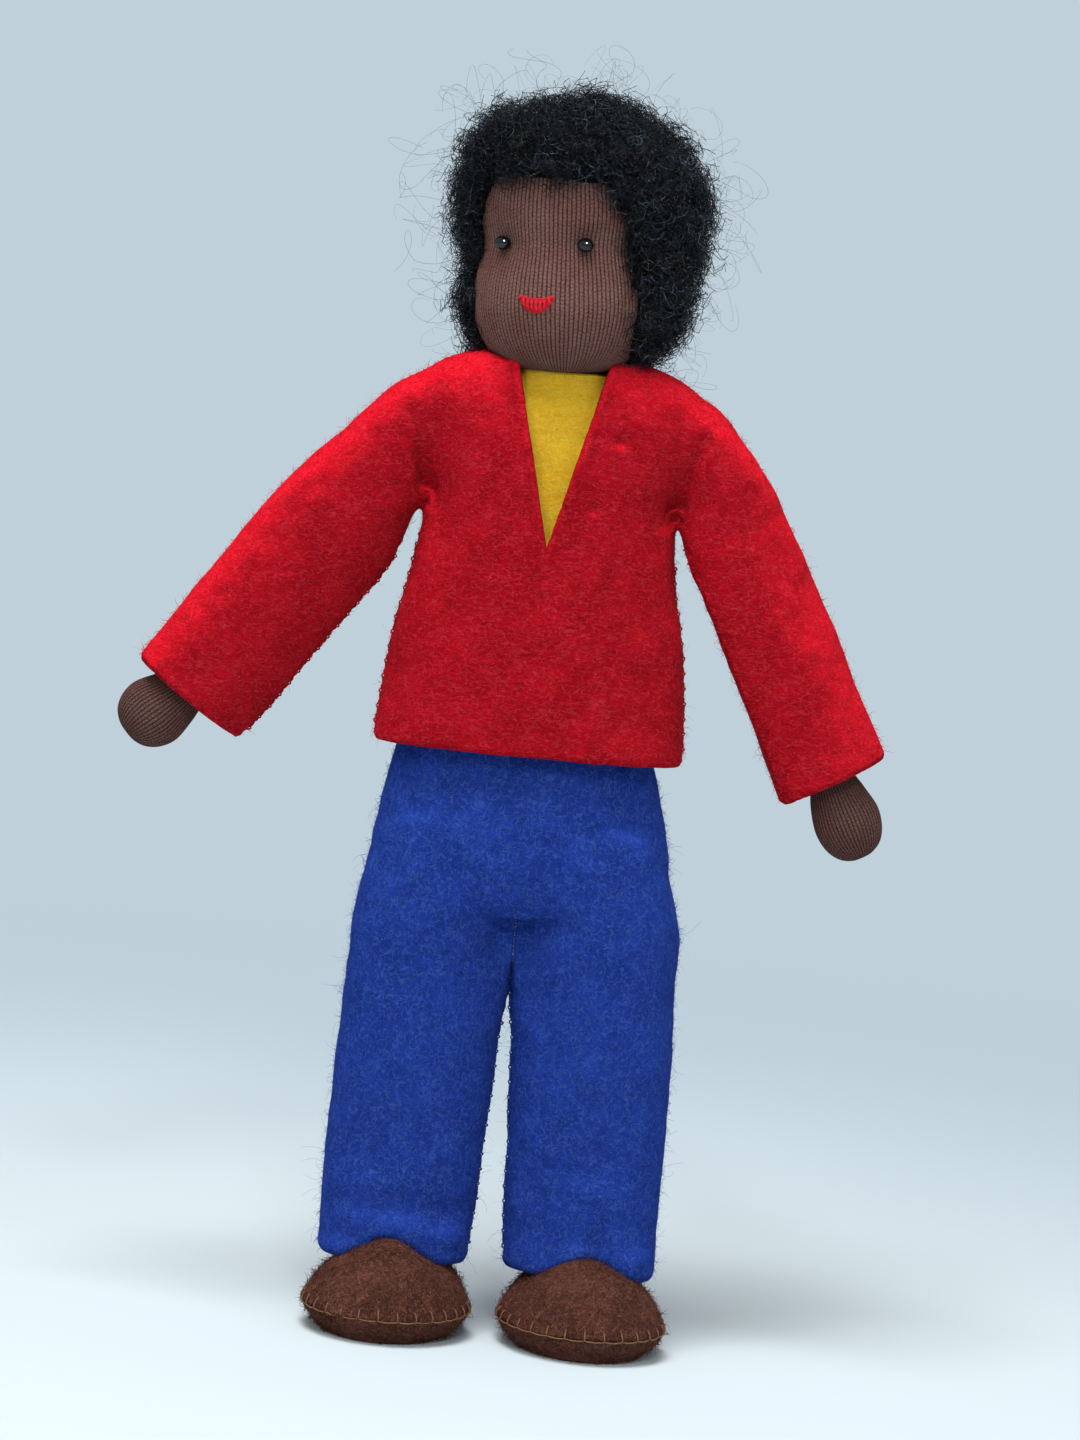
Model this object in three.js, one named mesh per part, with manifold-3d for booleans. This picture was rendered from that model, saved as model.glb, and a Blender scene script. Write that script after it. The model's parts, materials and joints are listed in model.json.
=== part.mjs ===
// A bendable felt doll for a dolls' house, standing on its own feet.
// Millimetres, +Z up, the doll looks along -Y. Left and right are the doll's own: its left is at +X.
// Felt clothes are open shells round a wire skeleton that is wound with wool, and the head and
// hands are knitted skins. Where the skeleton bends, the clothes are cut across, so that each
// length of felt belongs to the bone inside it.

import * as THREE from 'three';
import { mergeVertices } from 'three/addons/utils/BufferGeometryUtils.js';
import Module from 'manifold-3d';

const wasm = await Module();
wasm.setup();

// Clearances and walls
const touch = 0.3; // gap between two pieces that touch
const felt = 1.3; // thickness of the clothes' felt
const bibFelt = 1.2; // thickness of the undershirt's felt
const knit = 1.3; // thickness of the knitted head
const mittenKnit = 1.0; // thickness of the knitted hands
const reach = 60; // how far a cutting body runs past what it cuts

// Skeleton
const wireRadius = 0.7;
const handWireRadius = 0.6;
const bendGap = 1.2; // from a wire's end to the middle of an elbow or a knee
const hingeGap = 0.4; // from a wire's end to the middle of a joint that turns little
const windingSlope = 0.6; // a winding's radius over its distance from the middle of the joint
const ankleHeight = 8.5;
const shinLength = 23.5;
const thighLength = 23.5;
const legSplay = 1.6; // degrees that each leg leans outwards
const toeOut = 8; // degrees that each foot turns outwards
const hipSpacing = 19.2;
const waistHeight = 21.5; // above the hip joints
const shoulderHeight = 33; // above the waist
const shoulderSpacing = 31;
const upperArmLength = 22;
const foreArmLength = 18.6;
const neckRise = 5; // from the shoulder joints up to the neck joint
const neckHeight = shoulderHeight + neckRise; // above the waist
const hipKnot = 3.2; // radius of the wool knot round each hip
const shoulderKnot = 2.6; // radius of the wool knot round each shoulder
const legWinding = 4.0;
const armWinding = 3.0;
const neckWinding = 2.2;
const shoulderBarRise = 1.6; // the shoulder wire arches this far over the shoulder joints
const hipBarRise = 3.6; // from the bottom of the seat up to the wire that joins the hips

// Pose of the two arms and the head, in degrees
const arms = {
  left: { side: 1, angle: 28.1, twist: 40, wristLean: 0 },
  right: { side: -1, angle: 34.4, twist: 0, wristLean: 13 },
};
const headTurn = 18;
const headTilt = 4;

// Tunic: half width and half depth of its sections, and their heights above the waist joint
const hemDrop = 6; // from the waist down to the hem
const armpitDrop = 11.6; // from the shoulder joints down to the armpits
const slopeRise = 5; // from the shoulder joints up to the slope of the shoulders
const tunicTopRise = 7.4; // from the shoulder joints up to the tunic's top
const neckPointDrop = 15.1; // from the shoulder joints down to the point of the V neck
const armpitHeight = shoulderHeight - armpitDrop;
const shoulderSlopeHeight = shoulderHeight + slopeRise;
const tunicTopHeight = shoulderHeight + tunicTopRise;
const neckPointHeight = shoulderHeight - neckPointDrop;
const backNeckHeight = neckHeight + 0.2;
const tunicHem = { w: 18.1, d: 9.5 };
const tunicArmpit = { w: 14.6, d: 8.0 };
const tunicShoulder = { w: 16.3, d: 7.4 };
const tunicSlope = { w: 13.6, d: 5.8 };
const tunicTop = { w: 7.0, d: 3.4 };
const neckHalfWidth = 5.3;
const nodRoom = 1.2; // gap round the head in which it can nod
const armholeHalfHeight = 6.2;
const armholeHalfDepth = 5.4;
const armholeDrop = 1; // from the shoulder joints down to the middle of the armholes
const tunicSquareness = 3;

// Undershirt
const bibHidden = 4.9; // how far it runs on below the point of the V neck
const bibHalfWidth = 11;
const collarBand = 1.8; // height of its collar
const collarSlope = 1.6; // the shoulders of the undershirt rise this far to the collar
const bibBottomHeight = neckPointHeight - bibHidden;
const collarHeight = neckHeight;
const collarFootHeight = collarHeight - collarBand;
const collar = { w: 4.9, d: 4.0 };
const bibArmhole = 2.2;
const chestPadBottom = 3.5;
const chestPadDrop = 1.2; // from the shoulder joints down to the padding's top

// Sleeves, from the shoulder joint
const cuffPastWrist = 3.8; // the sleeve covers this much of the hand
const cuffReach = upperArmLength + foreArmLength + cuffPastWrist;
const sleeveArmpitDrop = 8.5; // from the shoulder joint along the arm to the armpit
const sleeveCapHeight = 5.2;
const sleeveCapTop = { w: 1.6, d: 1.6, x: 0.2 };
const sleeveCap = { w: 4.3, d: 3.9, x: 0.5 };
const sleeveCapBend = 1.6; // the cap's top is this much lower at its rim
const sleeveShoulder = { w: 5.6, d: 5.0, x: 0.9 };
const sleeveArmpit = { w: 6.1, d: 4.9, x: 1.3 };
const sleeveElbow = { w: 6.9, d: 4.7, x: 0.6 };
const sleeveCuff = { w: 7.8, d: 5.2, x: 0 };

// Hands, from the wrist joint
const handLength = 13.4;
const handWrist = { w: 2.7, d: 2.4 };
const handPalm = { w: 4.5, d: 3.6 };
const tieRadius = 0.3;

// Trousers, from the hip joints
const seatBottomHeight = 4.5;
const waistRoom = 1.7; // from the trousers' top up to the waist joint
const seatTopHeight = waistHeight - waistRoom;
const seatHemDrop = 1.5; // the section of the seat under the tunic's hem lies this far below it
const legCrotchDrop = 5; // from the hip joint down to the crotch
const pelvisPadInset = 1.2; // from the trousers' edges to the padding inside them
const seatTop = { w: 13.2, d: 5.3 };
const seatHem = { w: 14.9, d: 6.0 };
const seatBottom = { w: 17.4, d: 7.9 };
const legTop = { w: 8.8, d: 7.9, x: 0.8 };
const legHip = { w: 9.3, d: 7.7, x: 0.35 };
const legCrotch = { w: 9.7, d: 7.2, x: 0 };
const legKnee = { w: 9.5, d: 6.3, x: -0.2 };
const legCuff = { w: 9.25, d: 6.6, x: 0 };
const cuffHeight = 8.6; // lowest point of the trouser cuffs, above the floor

// Shoes, from the point of the floor under the ankle
const shoeHalfWidth = 9.9;
const shoeHalfLength = 12.6;
const shoeForward = 3.2; // the shoe's middle lies this far in front of the ankle
const shoeRimHeight = 2.9;
const shoeTopHeight = 12.4;
const shoeFlat = { w: 6.8, d: 9.4 }; // the flat of the sole
const ankleHole = 2.9;
const ankleRoom = 1.7; // from the shoe's top to the winding above it, so that the foot can tilt
const footLoop = { w: 4, d: 10 }; // half width and length of the wire's loop in the shoe
const weightThickness = 1.4;
const weightInset = 0.5; // how far the weight stays inside the sole's hollow

// Head, from the neck joint
const headBottomHeight = 0.8;
const headHeight = 30;
const jawRadius = 10.5;
const eyeLineRadius = 10.05;
const browRadius = 10.5;
const headFlatness = 0.96; // depth over width
const neckHole = 2.9;
const neckHoleDepth = 4;
const eyeHeight = 15.5;
const eyeAngle = 29;
const eyeRadius = 1.15;
const eyeProud = 0.35; // the bead's middle outside the skin's surface
const mouthHeight = 8.6;
const mouthHalfAngle = 11.5;
const mouthCurve = 0.9;
const mouthRadius = 0.42;

// Hair, from the neck joint
const hairMiddle = { y: 3.0, z: 16.9 };
const hairHalf = { x: 15.6, y: 14.2, z: 17.6 };
const hairLump = 0.75;
const hairBottomHeight = 4.3;
const hairline = 24.4;
const faceHalfWidth = 9.8;
const faceDepth = 2.6; // the face opening starts this far in front of the neck
const faceFlare = 1.42;

// Facets: sides round a section and rings along it
const torsoFacets = { sides: 22, rings: 10 };
const bibSides = 18;
const sleeveFacets = { sides: 16, rings: 14 };
const legFacets = { sides: 18, rings: 10 };
const seatFacets = { sides: 20, rings: 5 };
const headFacets = { sides: 18, rings: 12 };
const handFacets = { sides: 12, rings: 8 };
const shoeFacets = { sides: 20, rings: 5 };
const hairFacets = { across: 28, down: 18 };
const wireSides = 6;
const windingSides = 10;

// Materials
const red = { color: '#c50f28', roughness: 0.95 };
const yellow = { color: '#d39c0c', roughness: 0.95 };
const blue = { color: '#22409c', roughness: 0.95 };
const brown = { color: '#4e2a1c', roughness: 0.95 };
const skin = { color: '#6b463c', roughness: 0.9 };
const wool = { color: '#d9cfbd', roughness: 1 };
const curls = { color: '#17161b', roughness: 0.8 };
const glass = { color: '#050506', roughness: 0.08 };
const thread = { color: '#d92534', roughness: 0.7 };
const brownThread = { color: '#8a6040', roughness: 0.8 };
const steel = { color: '#9a9a9e', roughness: 0.4, metalness: 1 };

// Angles come in degrees
const radians = THREE.MathUtils.degToRad;

// Solids from meshes and meshes from solids

function solidOf(geometry) {
  const bare = geometry.clone();
  bare.deleteAttribute('normal');
  bare.deleteAttribute('uv');
  const merged = mergeVertices(bare, 1e-4);
  return new wasm.Manifold(new wasm.Mesh({
    numProp: 3,
    vertProperties: new Float32Array(merged.attributes.position.array),
    triVerts: new Uint32Array(merged.index.array),
  }));
}

function geometryOf(solid) {
  const mesh = solid.getMesh();
  const geometry = new THREE.BufferGeometry();
  geometry.setAttribute('position', new THREE.BufferAttribute(mesh.vertProperties, 3));
  geometry.setIndex(new THREE.BufferAttribute(mesh.triVerts, 1));
  geometry.computeVertexNormals();
  return geometry;
}

function add(parent, name, solid, finish) {
  const material = new THREE.MeshStandardMaterial({ metalness: 0, ...finish });
  const mesh = new THREE.Mesh(geometryOf(solid), material);
  mesh.name = name;
  parent.add(mesh);
}

function frameAt(parent, name, x, y, z) {
  const group = new THREE.Group();
  group.name = name;
  group.position.set(x, y, z);
  parent.add(group);
  return group;
}

// The matrix that takes a solid of the frame "from" into the frame "to".
function between(from, to) {
  from.updateWorldMatrix(true, false);
  to.updateWorldMatrix(true, false);
  return to.matrixWorld.clone().invert().multiply(from.matrixWorld);
}

// Lofts: a list of rings, each a flattened oval with half width w and half depth d round (x, y, z)

function signedPower(value, exponent) {
  return Math.sign(value) * Math.abs(value) ** exponent;
}

function ringPoints({ w, d, x = 0, y = 0, z, roll = 0 }, sides, squareness) {
  const turn = radians(roll);
  return Array.from({ length: sides }, (_, i) => {
    const angle = (2 * Math.PI * i) / sides;
    const across = w * signedPower(Math.cos(angle), 2 / squareness);
    const deep = d * signedPower(Math.sin(angle), 2 / squareness);
    return new THREE.Vector3(
      x + across * Math.cos(turn) - deep * Math.sin(turn),
      y + across * Math.sin(turn) + deep * Math.cos(turn),
      z,
    );
  });
}

// Joins rings of points, the lowest first, each counted anticlockwise from above.
function skinOver(rings) {
  const sides = rings[0].length;
  const points = rings.flat();
  const triangles = [];
  for (let row = 0; row + 1 < rings.length; row += 1) {
    for (let i = 0; i < sides; i += 1) {
      const a = row * sides + i;
      const b = row * sides + ((i + 1) % sides);
      triangles.push(a, b, b + sides, a, b + sides, a + sides);
    }
  }
  const middle = (ring) => ring.reduce((sum, p) => sum.add(p), new THREE.Vector3()).divideScalar(sides);
  const bottom = points.push(middle(rings[0])) - 1;
  const top = points.push(middle(rings.at(-1))) - 1;
  const lastRow = (rings.length - 1) * sides;
  for (let i = 0; i < sides; i += 1) {
    const next = (i + 1) % sides;
    triangles.push(bottom, next, i, top, lastRow + i, lastRow + next);
  }
  return new wasm.Manifold(new wasm.Mesh({
    numProp: 3,
    vertProperties: new Float32Array(points.flatMap((p) => p.toArray())),
    triVerts: new Uint32Array(triangles),
  }));
}

function loft(rings, sides = 24, squareness = 2.4) {
  return skinOver(rings.map((ring) => ringPoints(ring, sides, squareness)));
}

// Rounds a short list of rings out to count + 1 rings with a smooth curve through them.
function smooth(rings, count) {
  const curve = (pick) => new THREE.CatmullRomCurve3(rings.map(pick), false, 'catmullrom');
  const sizes = curve((r) => new THREE.Vector3(r.w, r.d, r.roll ?? 0));
  const places = curve((r) => new THREE.Vector3(r.x ?? 0, r.y ?? 0, r.z));
  return Array.from({ length: count + 1 }, (_, i) => {
    const size = sizes.getPoint(i / count);
    const place = places.getPoint(i / count);
    return { w: size.x, d: size.y, roll: size.z, x: place.x, y: place.y, z: place.z };
  });
}

function grown(rings, by) {
  return rings.map((ring) => ({ ...ring, w: ring.w + by, d: ring.d + by }));
}

// The part of a loft from one height to another.
function cutRings(rings, low, high) {
  const ringAt = (z) => {
    const next = Math.max(1, rings.findIndex((ring) => ring.z >= z));
    const [a, b] = [rings[next - 1], rings[next]];
    const share = (z - a.z) / (b.z - a.z);
    const mix = (key) => (a[key] ?? 0) + ((b[key] ?? 0) - (a[key] ?? 0)) * share;
    return { w: mix('w'), d: mix('d'), x: mix('x'), y: mix('y'), roll: mix('roll'), z };
  };
  const inside = rings.filter((ring) => ring.z > low + touch && ring.z < high - touch);
  return [ringAt(low), ...inside, ringAt(high)];
}

// Runs a loft on past its lowest and its highest ring.
function longer(rings, below, above) {
  const first = { ...rings[0], z: rings[0].z - below };
  const last = { ...rings.at(-1), z: rings.at(-1).z + above };
  return [...(below ? [first] : []), ...rings, ...(above ? [last] : [])];
}

// Simple bodies

function ball(radius, across = 10, down = 7) {
  return solidOf(new THREE.SphereGeometry(radius, across, down));
}

function rod(radius, low, high, sides = wireSides) {
  return loft([{ w: radius, d: radius, z: low }, { w: radius, d: radius, z: high }], sides, 2);
}

function block(width, depth, height) {
  return solidOf(new THREE.BoxGeometry(width, depth, height));
}

function threadRing(radius, threadRadius) {
  return solidOf(new THREE.TorusGeometry(radius, threadRadius, 5, 14));
}

// A wire along a smooth path.
function wire(points, radius, steps) {
  const path = new THREE.CatmullRomCurve3(points.map((p) => new THREE.Vector3(...p)), false, 'centripetal');
  const shape = new THREE.Shape();
  for (let i = 0; i < wireSides; i += 1) {
    const angle = (2 * Math.PI * i) / wireSides;
    const corner = [radius * Math.cos(angle), radius * Math.sin(angle)];
    if (i === 0) shape.moveTo(...corner);
    else shape.lineTo(...corner);
  }
  return solidOf(new THREE.ExtrudeGeometry(shape, { steps, extrudePath: path, bevelEnabled: false }));
}

// A flat outline (points across and up) made as thick as asked, from y = front to y = back.
function slab(outline, front, back) {
  const shape = new THREE.Shape(outline.map(([x, z]) => new THREE.Vector2(x, z)));
  const geometry = new THREE.ExtrudeGeometry(shape, { depth: back - front, bevelEnabled: false });
  geometry.rotateX(Math.PI / 2);
  geometry.translate(0, back, 0);
  return solidOf(geometry);
}

// A bone's winding hangs below its joint: it starts at "from", ends at "to", and narrows to a
// cone at each end so that the bones on both sides of a joint can fold.
function winding(radius, from, to, length, bore) {
  const fullTop = Math.max(from, radius / windingSlope);
  const fullBottom = Math.min(to, length - radius / windingSlope);
  const rings = [
    { z: -to, r: Math.min(radius, (length - to) * windingSlope) },
    { z: -fullBottom, r: radius },
    { z: -fullTop, r: radius },
    { z: -from, r: Math.min(radius, from * windingSlope) },
  ];
  const distinct = rings.filter((ring, i) => i === 0 || ring.z - rings[i - 1].z > 0.05);
  const body = loft(distinct.map(({ z, r }) => ({ w: r, d: r, z })), windingSides, 2);
  return body.subtract(rod(bore, -reach, reach, wireSides));
}

function straightWire(radius, from, to) {
  return rod(radius, -to, -from);
}

// Frames of the skeleton

const doll = new THREE.Group();
const legLength = thighLength + shinLength;
const hipHeight = ankleHeight + legLength * Math.cos(radians(legSplay));
const pelvis = frameAt(doll, 'pelvis', 0, 0, hipHeight);
const chest = frameAt(pelvis, 'waist_bend', 0, 0, waistHeight);
const neck = frameAt(chest, 'head_nod', 0, 0, neckHeight);
neck.rotation.y = -radians(headTilt);
const head = frameAt(neck, 'head_turn', 0, 0, 0);
head.rotation.z = -radians(headTurn);

// Head outline, in the head's frame

const headRings = smooth([
  { w: jawRadius * 0.32, rise: 0 },
  { w: jawRadius * 0.63, rise: 0.03 },
  { w: jawRadius * 0.88, rise: 0.1 },
  { w: jawRadius, rise: 0.22 },
  { w: jawRadius * 0.99, rise: 0.35 },
  { w: eyeLineRadius, rise: (eyeHeight - headBottomHeight) / headHeight },
  { w: browRadius, rise: 0.65 },
  { w: browRadius * 0.87, rise: 0.82 },
  { w: browRadius * 0.6, rise: 0.93 },
  { w: browRadius * 0.25, rise: 0.99 },
  { w: browRadius * 0.08, rise: 1 },
].map(({ w, rise }) => (
  { w, d: w * headFlatness, z: headBottomHeight + headHeight * rise }
)), headFacets.rings);

// The head's outline brought in by "by" on every side; a negative value makes it larger.
function headSolid(by) {
  const middle = headBottomHeight + headHeight / 2;
  const squeeze = (headHeight / 2 - by) / (headHeight / 2);
  const rings = headRings.map((ring) => ({
    ...ring,
    w: Math.max(ring.w - by, 0.3),
    d: Math.max(ring.d - by, 0.3),
    z: middle + (ring.z - middle) * squeeze,
  }));
  return loft(rings, headFacets.sides, 2);
}

// Tunic outline, in the chest's frame

const tunicRings = smooth([
  { ...tunicHem, z: -hemDrop },
  { ...tunicArmpit, z: armpitHeight },
  { ...tunicShoulder, z: shoulderHeight },
  { ...tunicSlope, z: shoulderSlopeHeight },
  { ...tunicTop, z: tunicTopHeight },
], torsoFacets.rings);

// The tunic's outline brought in by "by", with the top lowered as much.
function insideTunic(by) {
  const slope = tunicTopHeight - shoulderHeight;
  return grown(tunicRings, -by).map((ring) => {
    const share = Math.max(0, (ring.z - shoulderHeight) / slope);
    return { ...ring, z: ring.z - by * share };
  });
}

function tunicSolid(rings) {
  return loft(rings, torsoFacets.sides, tunicSquareness);
}

function tunicBody() {
  const hollow = tunicSolid(longer(insideTunic(felt), reach, 0));
  const top = tunicTopHeight + reach;
  const neckV = slab([
    [0, neckPointHeight],
    [neckHalfWidth * 0.55, (neckPointHeight + backNeckHeight) / 2],
    [neckHalfWidth, backNeckHeight],
    [neckHalfWidth, top],
    [-neckHalfWidth, top],
    [-neckHalfWidth, backNeckHeight],
    [-neckHalfWidth * 0.55, (neckPointHeight + backNeckHeight) / 2],
  ], -reach, 0);
  const neckBack = block(2 * neckHalfWidth, 2 * reach, reach)
    .translate([0, 0, backNeckHeight + reach / 2]);
  let body = tunicSolid(tunicRings).subtract(hollow).subtract(neckV).subtract(neckBack);
  const armhole = loft([
    { w: armholeHalfHeight, d: armholeHalfDepth, z: shoulderSpacing / 2 - shoulderKnot - 2 * touch },
    { w: armholeHalfHeight, d: armholeHalfDepth, z: reach },
  ], 16, 2.2).rotate([0, 90, 0]).translate([0, 0, shoulderHeight - armholeDrop]);
  body = body.subtract(armhole).subtract(armhole.mirror([1, 0, 0]));
  return body.subtract(headSolid(-nodRoom).transform(between(head, chest).elements));
}

// Wire of the chest: the spine and the arched bar that carries the shoulders

const shoulderBarEnd = shoulderSpacing / 2 - shoulderKnot - touch;

function shoulderBar(radius) {
  return wire([
    [-shoulderBarEnd, 0, shoulderHeight],
    [-shoulderBarEnd / 2, 0, shoulderHeight + shoulderBarRise * 0.8],
    [0, 0, shoulderHeight + shoulderBarRise],
    [shoulderBarEnd / 2, 0, shoulderHeight + shoulderBarRise * 0.8],
    [shoulderBarEnd, 0, shoulderHeight],
  ], radius, 8);
}

function spine(radius, extra = 0) {
  return rod(radius, hingeGap - extra, neckHeight - hingeGap + extra);
}

function undershirt() {
  const outer = cutRings(insideTunic(felt + touch), bibBottomHeight, collarFootHeight - collarSlope)
    .map((ring) => ({ ...ring, w: Math.min(ring.w, bibHalfWidth) }));
  const collarRings = [
    { ...collar, z: collarFootHeight },
    { ...collar, z: collarHeight },
  ];
  const shell = loft([...outer, ...collarRings], bibSides, 2.6);
  const body = grown(outer, -bibFelt);
  const shoulders = body.pop();
  const hollow = loft(longer([
    ...body,
    { ...shoulders, z: shoulders.z - bibFelt },
    ...grown(collarRings, -bibFelt).map((ring) => ({ ...ring, z: ring.z - bibFelt / 2 })),
  ], reach, reach), bibSides, 2.6);
  const armholes = wire([
    [-reach / 2, 0, shoulderHeight + shoulderBarRise / 3],
    [reach / 2, 0, shoulderHeight + shoulderBarRise / 3],
  ], bibArmhole, 1);
  return shell.subtract(hollow).subtract(armholes);
}

function chestPad() {
  const clear = felt + touch + bibFelt + touch;
  const rings = cutRings(insideTunic(clear), chestPadBottom, shoulderHeight - chestPadDrop)
    .map((ring) => ({ ...ring, w: Math.min(ring.w, bibHalfWidth - bibFelt - touch) }));
  const low = { ...rings[0], z: rings[0].z - 1, w: rings[0].w - 1, d: rings[0].d - 1 };
  return loft([low, ...rings], bibSides, 2.4)
    .subtract(spine(wireRadius + touch, reach))
    .subtract(shoulderBar(wireRadius + touch));
}

// Chest

add(chest, 'sweater_body', tunicBody(), red);
add(chest, 'undershirt', undershirt(), yellow);
add(chest, 'chest_padding', chestPad(), wool);
add(chest, 'chest_wire', spine(wireRadius).add(shoulderBar(wireRadius)), steel);

// Pelvis: the seat of the trousers, its padding and the wire that carries both hips

const seatRings = smooth([
  { ...seatBottom, z: seatBottomHeight },
  { ...seatHem, z: waistHeight - hemDrop - seatHemDrop },
  { ...seatTop, z: seatTopHeight },
], seatFacets.rings);

function seat() {
  const hollow = loft(longer(grown(seatRings, -felt), reach, reach), seatFacets.sides, 2.6);
  return loft(seatRings, seatFacets.sides, 2.6).subtract(hollow);
}

function pelvisWire(radius, extra = 0) {
  const barHeight = seatBottomHeight + hipBarRise;
  const down = hipKnot + touch;
  const bend = (down + barHeight) / 2 - wireRadius;
  const bar = wire([
    [-hipSpacing / 2, 0, down - extra],
    [-hipSpacing / 2, 0, bend],
    [-hipSpacing / 3, 0, barHeight - wireRadius / 2],
    [0, 0, barHeight],
    [hipSpacing / 3, 0, barHeight - wireRadius / 2],
    [hipSpacing / 2, 0, bend],
    [hipSpacing / 2, 0, down - extra],
  ], radius, 16);
  return bar.add(rod(radius, barHeight, waistHeight - hingeGap + extra));
}

function pelvisPad() {
  const rings = grown(seatRings, -felt - touch);
  const middle = cutRings(rings, seatBottomHeight + pelvisPadInset, seatTopHeight - pelvisPadInset);
  return loft(middle, seatFacets.sides, 2.6).subtract(pelvisWire(wireRadius + touch, 3));
}

add(pelvis, 'trousers_seat', seat(), blue);
add(pelvis, 'pelvis_padding', pelvisPad(), wool);
add(pelvis, 'pelvis_wire', pelvisWire(wireRadius), steel);

// Neck

add(neck, 'neck_wire', rod(wireRadius, hingeGap, eyeHeight - 2), steel);
const neckCore = winding(neckWinding, 2.1, eyeHeight - 1.2, reach, wireRadius + touch);
add(neck, 'neck_winding', neckCore.mirror([0, 0, 1]), wool);

// Head

function eyeAt(side) {
  const turn = radians(eyeAngle);
  const out = eyeLineRadius + eyeProud;
  return [side * out * Math.sin(turn), -out * Math.cos(turn) * headFlatness, eyeHeight];
}

// The mouth's crescent follows the jaw, its ends a little higher than its middle.
function mouth(radius) {
  const points = [];
  for (let i = -4; i <= 4; i += 1) {
    const share = i / 4;
    const turn = radians(mouthHalfAngle * share);
    points.push([
      jawRadius * Math.sin(turn),
      -jawRadius * Math.cos(turn) * headFlatness,
      mouthHeight - mouthCurve / 3 + mouthCurve * share * share,
    ]);
  }
  return wire(points, radius, 8);
}

function headSkin() {
  let body = headSolid(0).subtract(headSolid(knit));
  body = body.subtract(rod(neckHole, -reach, headBottomHeight + neckHoleDepth, 12));
  body = body.subtract(ball(eyeRadius + touch).translate(eyeAt(1)));
  body = body.subtract(ball(eyeRadius + touch).translate(eyeAt(-1)));
  return body.subtract(mouth(mouthRadius + touch));
}

function headWool() {
  const bore = rod(neckWinding + touch, -reach, eyeHeight - 1.2 + touch, 12);
  return headSolid(knit + touch).subtract(bore);
}

// A curly cap: an egg with lumps, hollow where the head is, open in front of the face.
function hair() {
  const egg = new THREE.SphereGeometry(1, hairFacets.across, hairFacets.down);
  egg.rotateX(Math.PI / 2);
  const place = egg.attributes.position;
  const point = new THREE.Vector3();
  for (let i = 0; i < place.count; i += 1) {
    point.fromBufferAttribute(place, i);
    const wave = Math.sin(9 * point.x + 1.3) * Math.sin(8 * point.y + 0.4) * Math.sin(7 * point.z);
    const lumps = 1 + (hairLump * (wave + 0.35 * Math.sin(13 * point.z + 5 * point.x))) / hairHalf.x;
    place.setXYZ(
      i,
      point.x * hairHalf.x * lumps,
      hairMiddle.y + point.y * hairHalf.y * lumps,
      hairMiddle.z + point.z * hairHalf.z * lumps,
    );
  }
  const arch = [];
  const archFoot = hairline - faceHalfWidth * 0.8;
  for (let i = 0; i <= 12; i += 1) {
    const turn = (Math.PI * i) / 12;
    arch.push([faceHalfWidth * Math.cos(turn), archFoot + (hairline - archFoot) * Math.sin(turn)]);
  }
  arch.push([-faceHalfWidth, -reach / 3], [faceHalfWidth, -reach / 3]);
  const flared = (scale, depth) => arch.map(([x, up]) => new THREE.Vector3(
    x * scale,
    eyeHeight + (up - eyeHeight) * (1 + (scale - 1) * 0.55),
    depth,
  ));
  const face = skinOver([flared(1, faceDepth), flared(faceFlare, hairHalf.y + faceDepth)])
    .rotate([90, 0, 0]);
  const below = block(reach, reach, reach).translate([0, 0, hairBottomHeight - reach / 2]);
  return solidOf(egg).subtract(headSolid(-touch)).subtract(face).subtract(below);
}

add(head, 'head_skin', headSkin(), skin);
add(head, 'head_wool', headWool(), wool);
add(head, 'eye_left', ball(eyeRadius, 12, 8).translate(eyeAt(1)), glass);
add(head, 'eye_right', ball(eyeRadius, 12, 8).translate(eyeAt(-1)), glass);
add(head, 'mouth_stitch', mouth(mouthRadius), thread);
add(head, 'neck_tie', threadRing(neckHole - 2 * touch - tieRadius, tieRadius), brownThread);
add(head, 'hair', hair(), curls);

// Arms

function sleeveRings(side, from, to, twist) {
  const all = [
    { ...sleeveCapTop, t: -sleeveCapHeight },
    { ...sleeveCap, t: sleeveCapBend - sleeveCapHeight },
    { ...sleeveShoulder, t: 0 },
    { ...sleeveArmpit, t: sleeveArmpitDrop },
    { ...sleeveElbow, t: upperArmLength },
    { ...sleeveCuff, t: cuffReach },
  ].map(({ w, d, x, t }) => {
    const share = THREE.MathUtils.smoothstep(t, 0, upperArmLength);
    return { w, d, x: -side * x, z: -t, roll: twist * share };
  });
  return cutRings(smooth(all.reverse(), sleeveFacets.rings), -to, -from);
}

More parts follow.
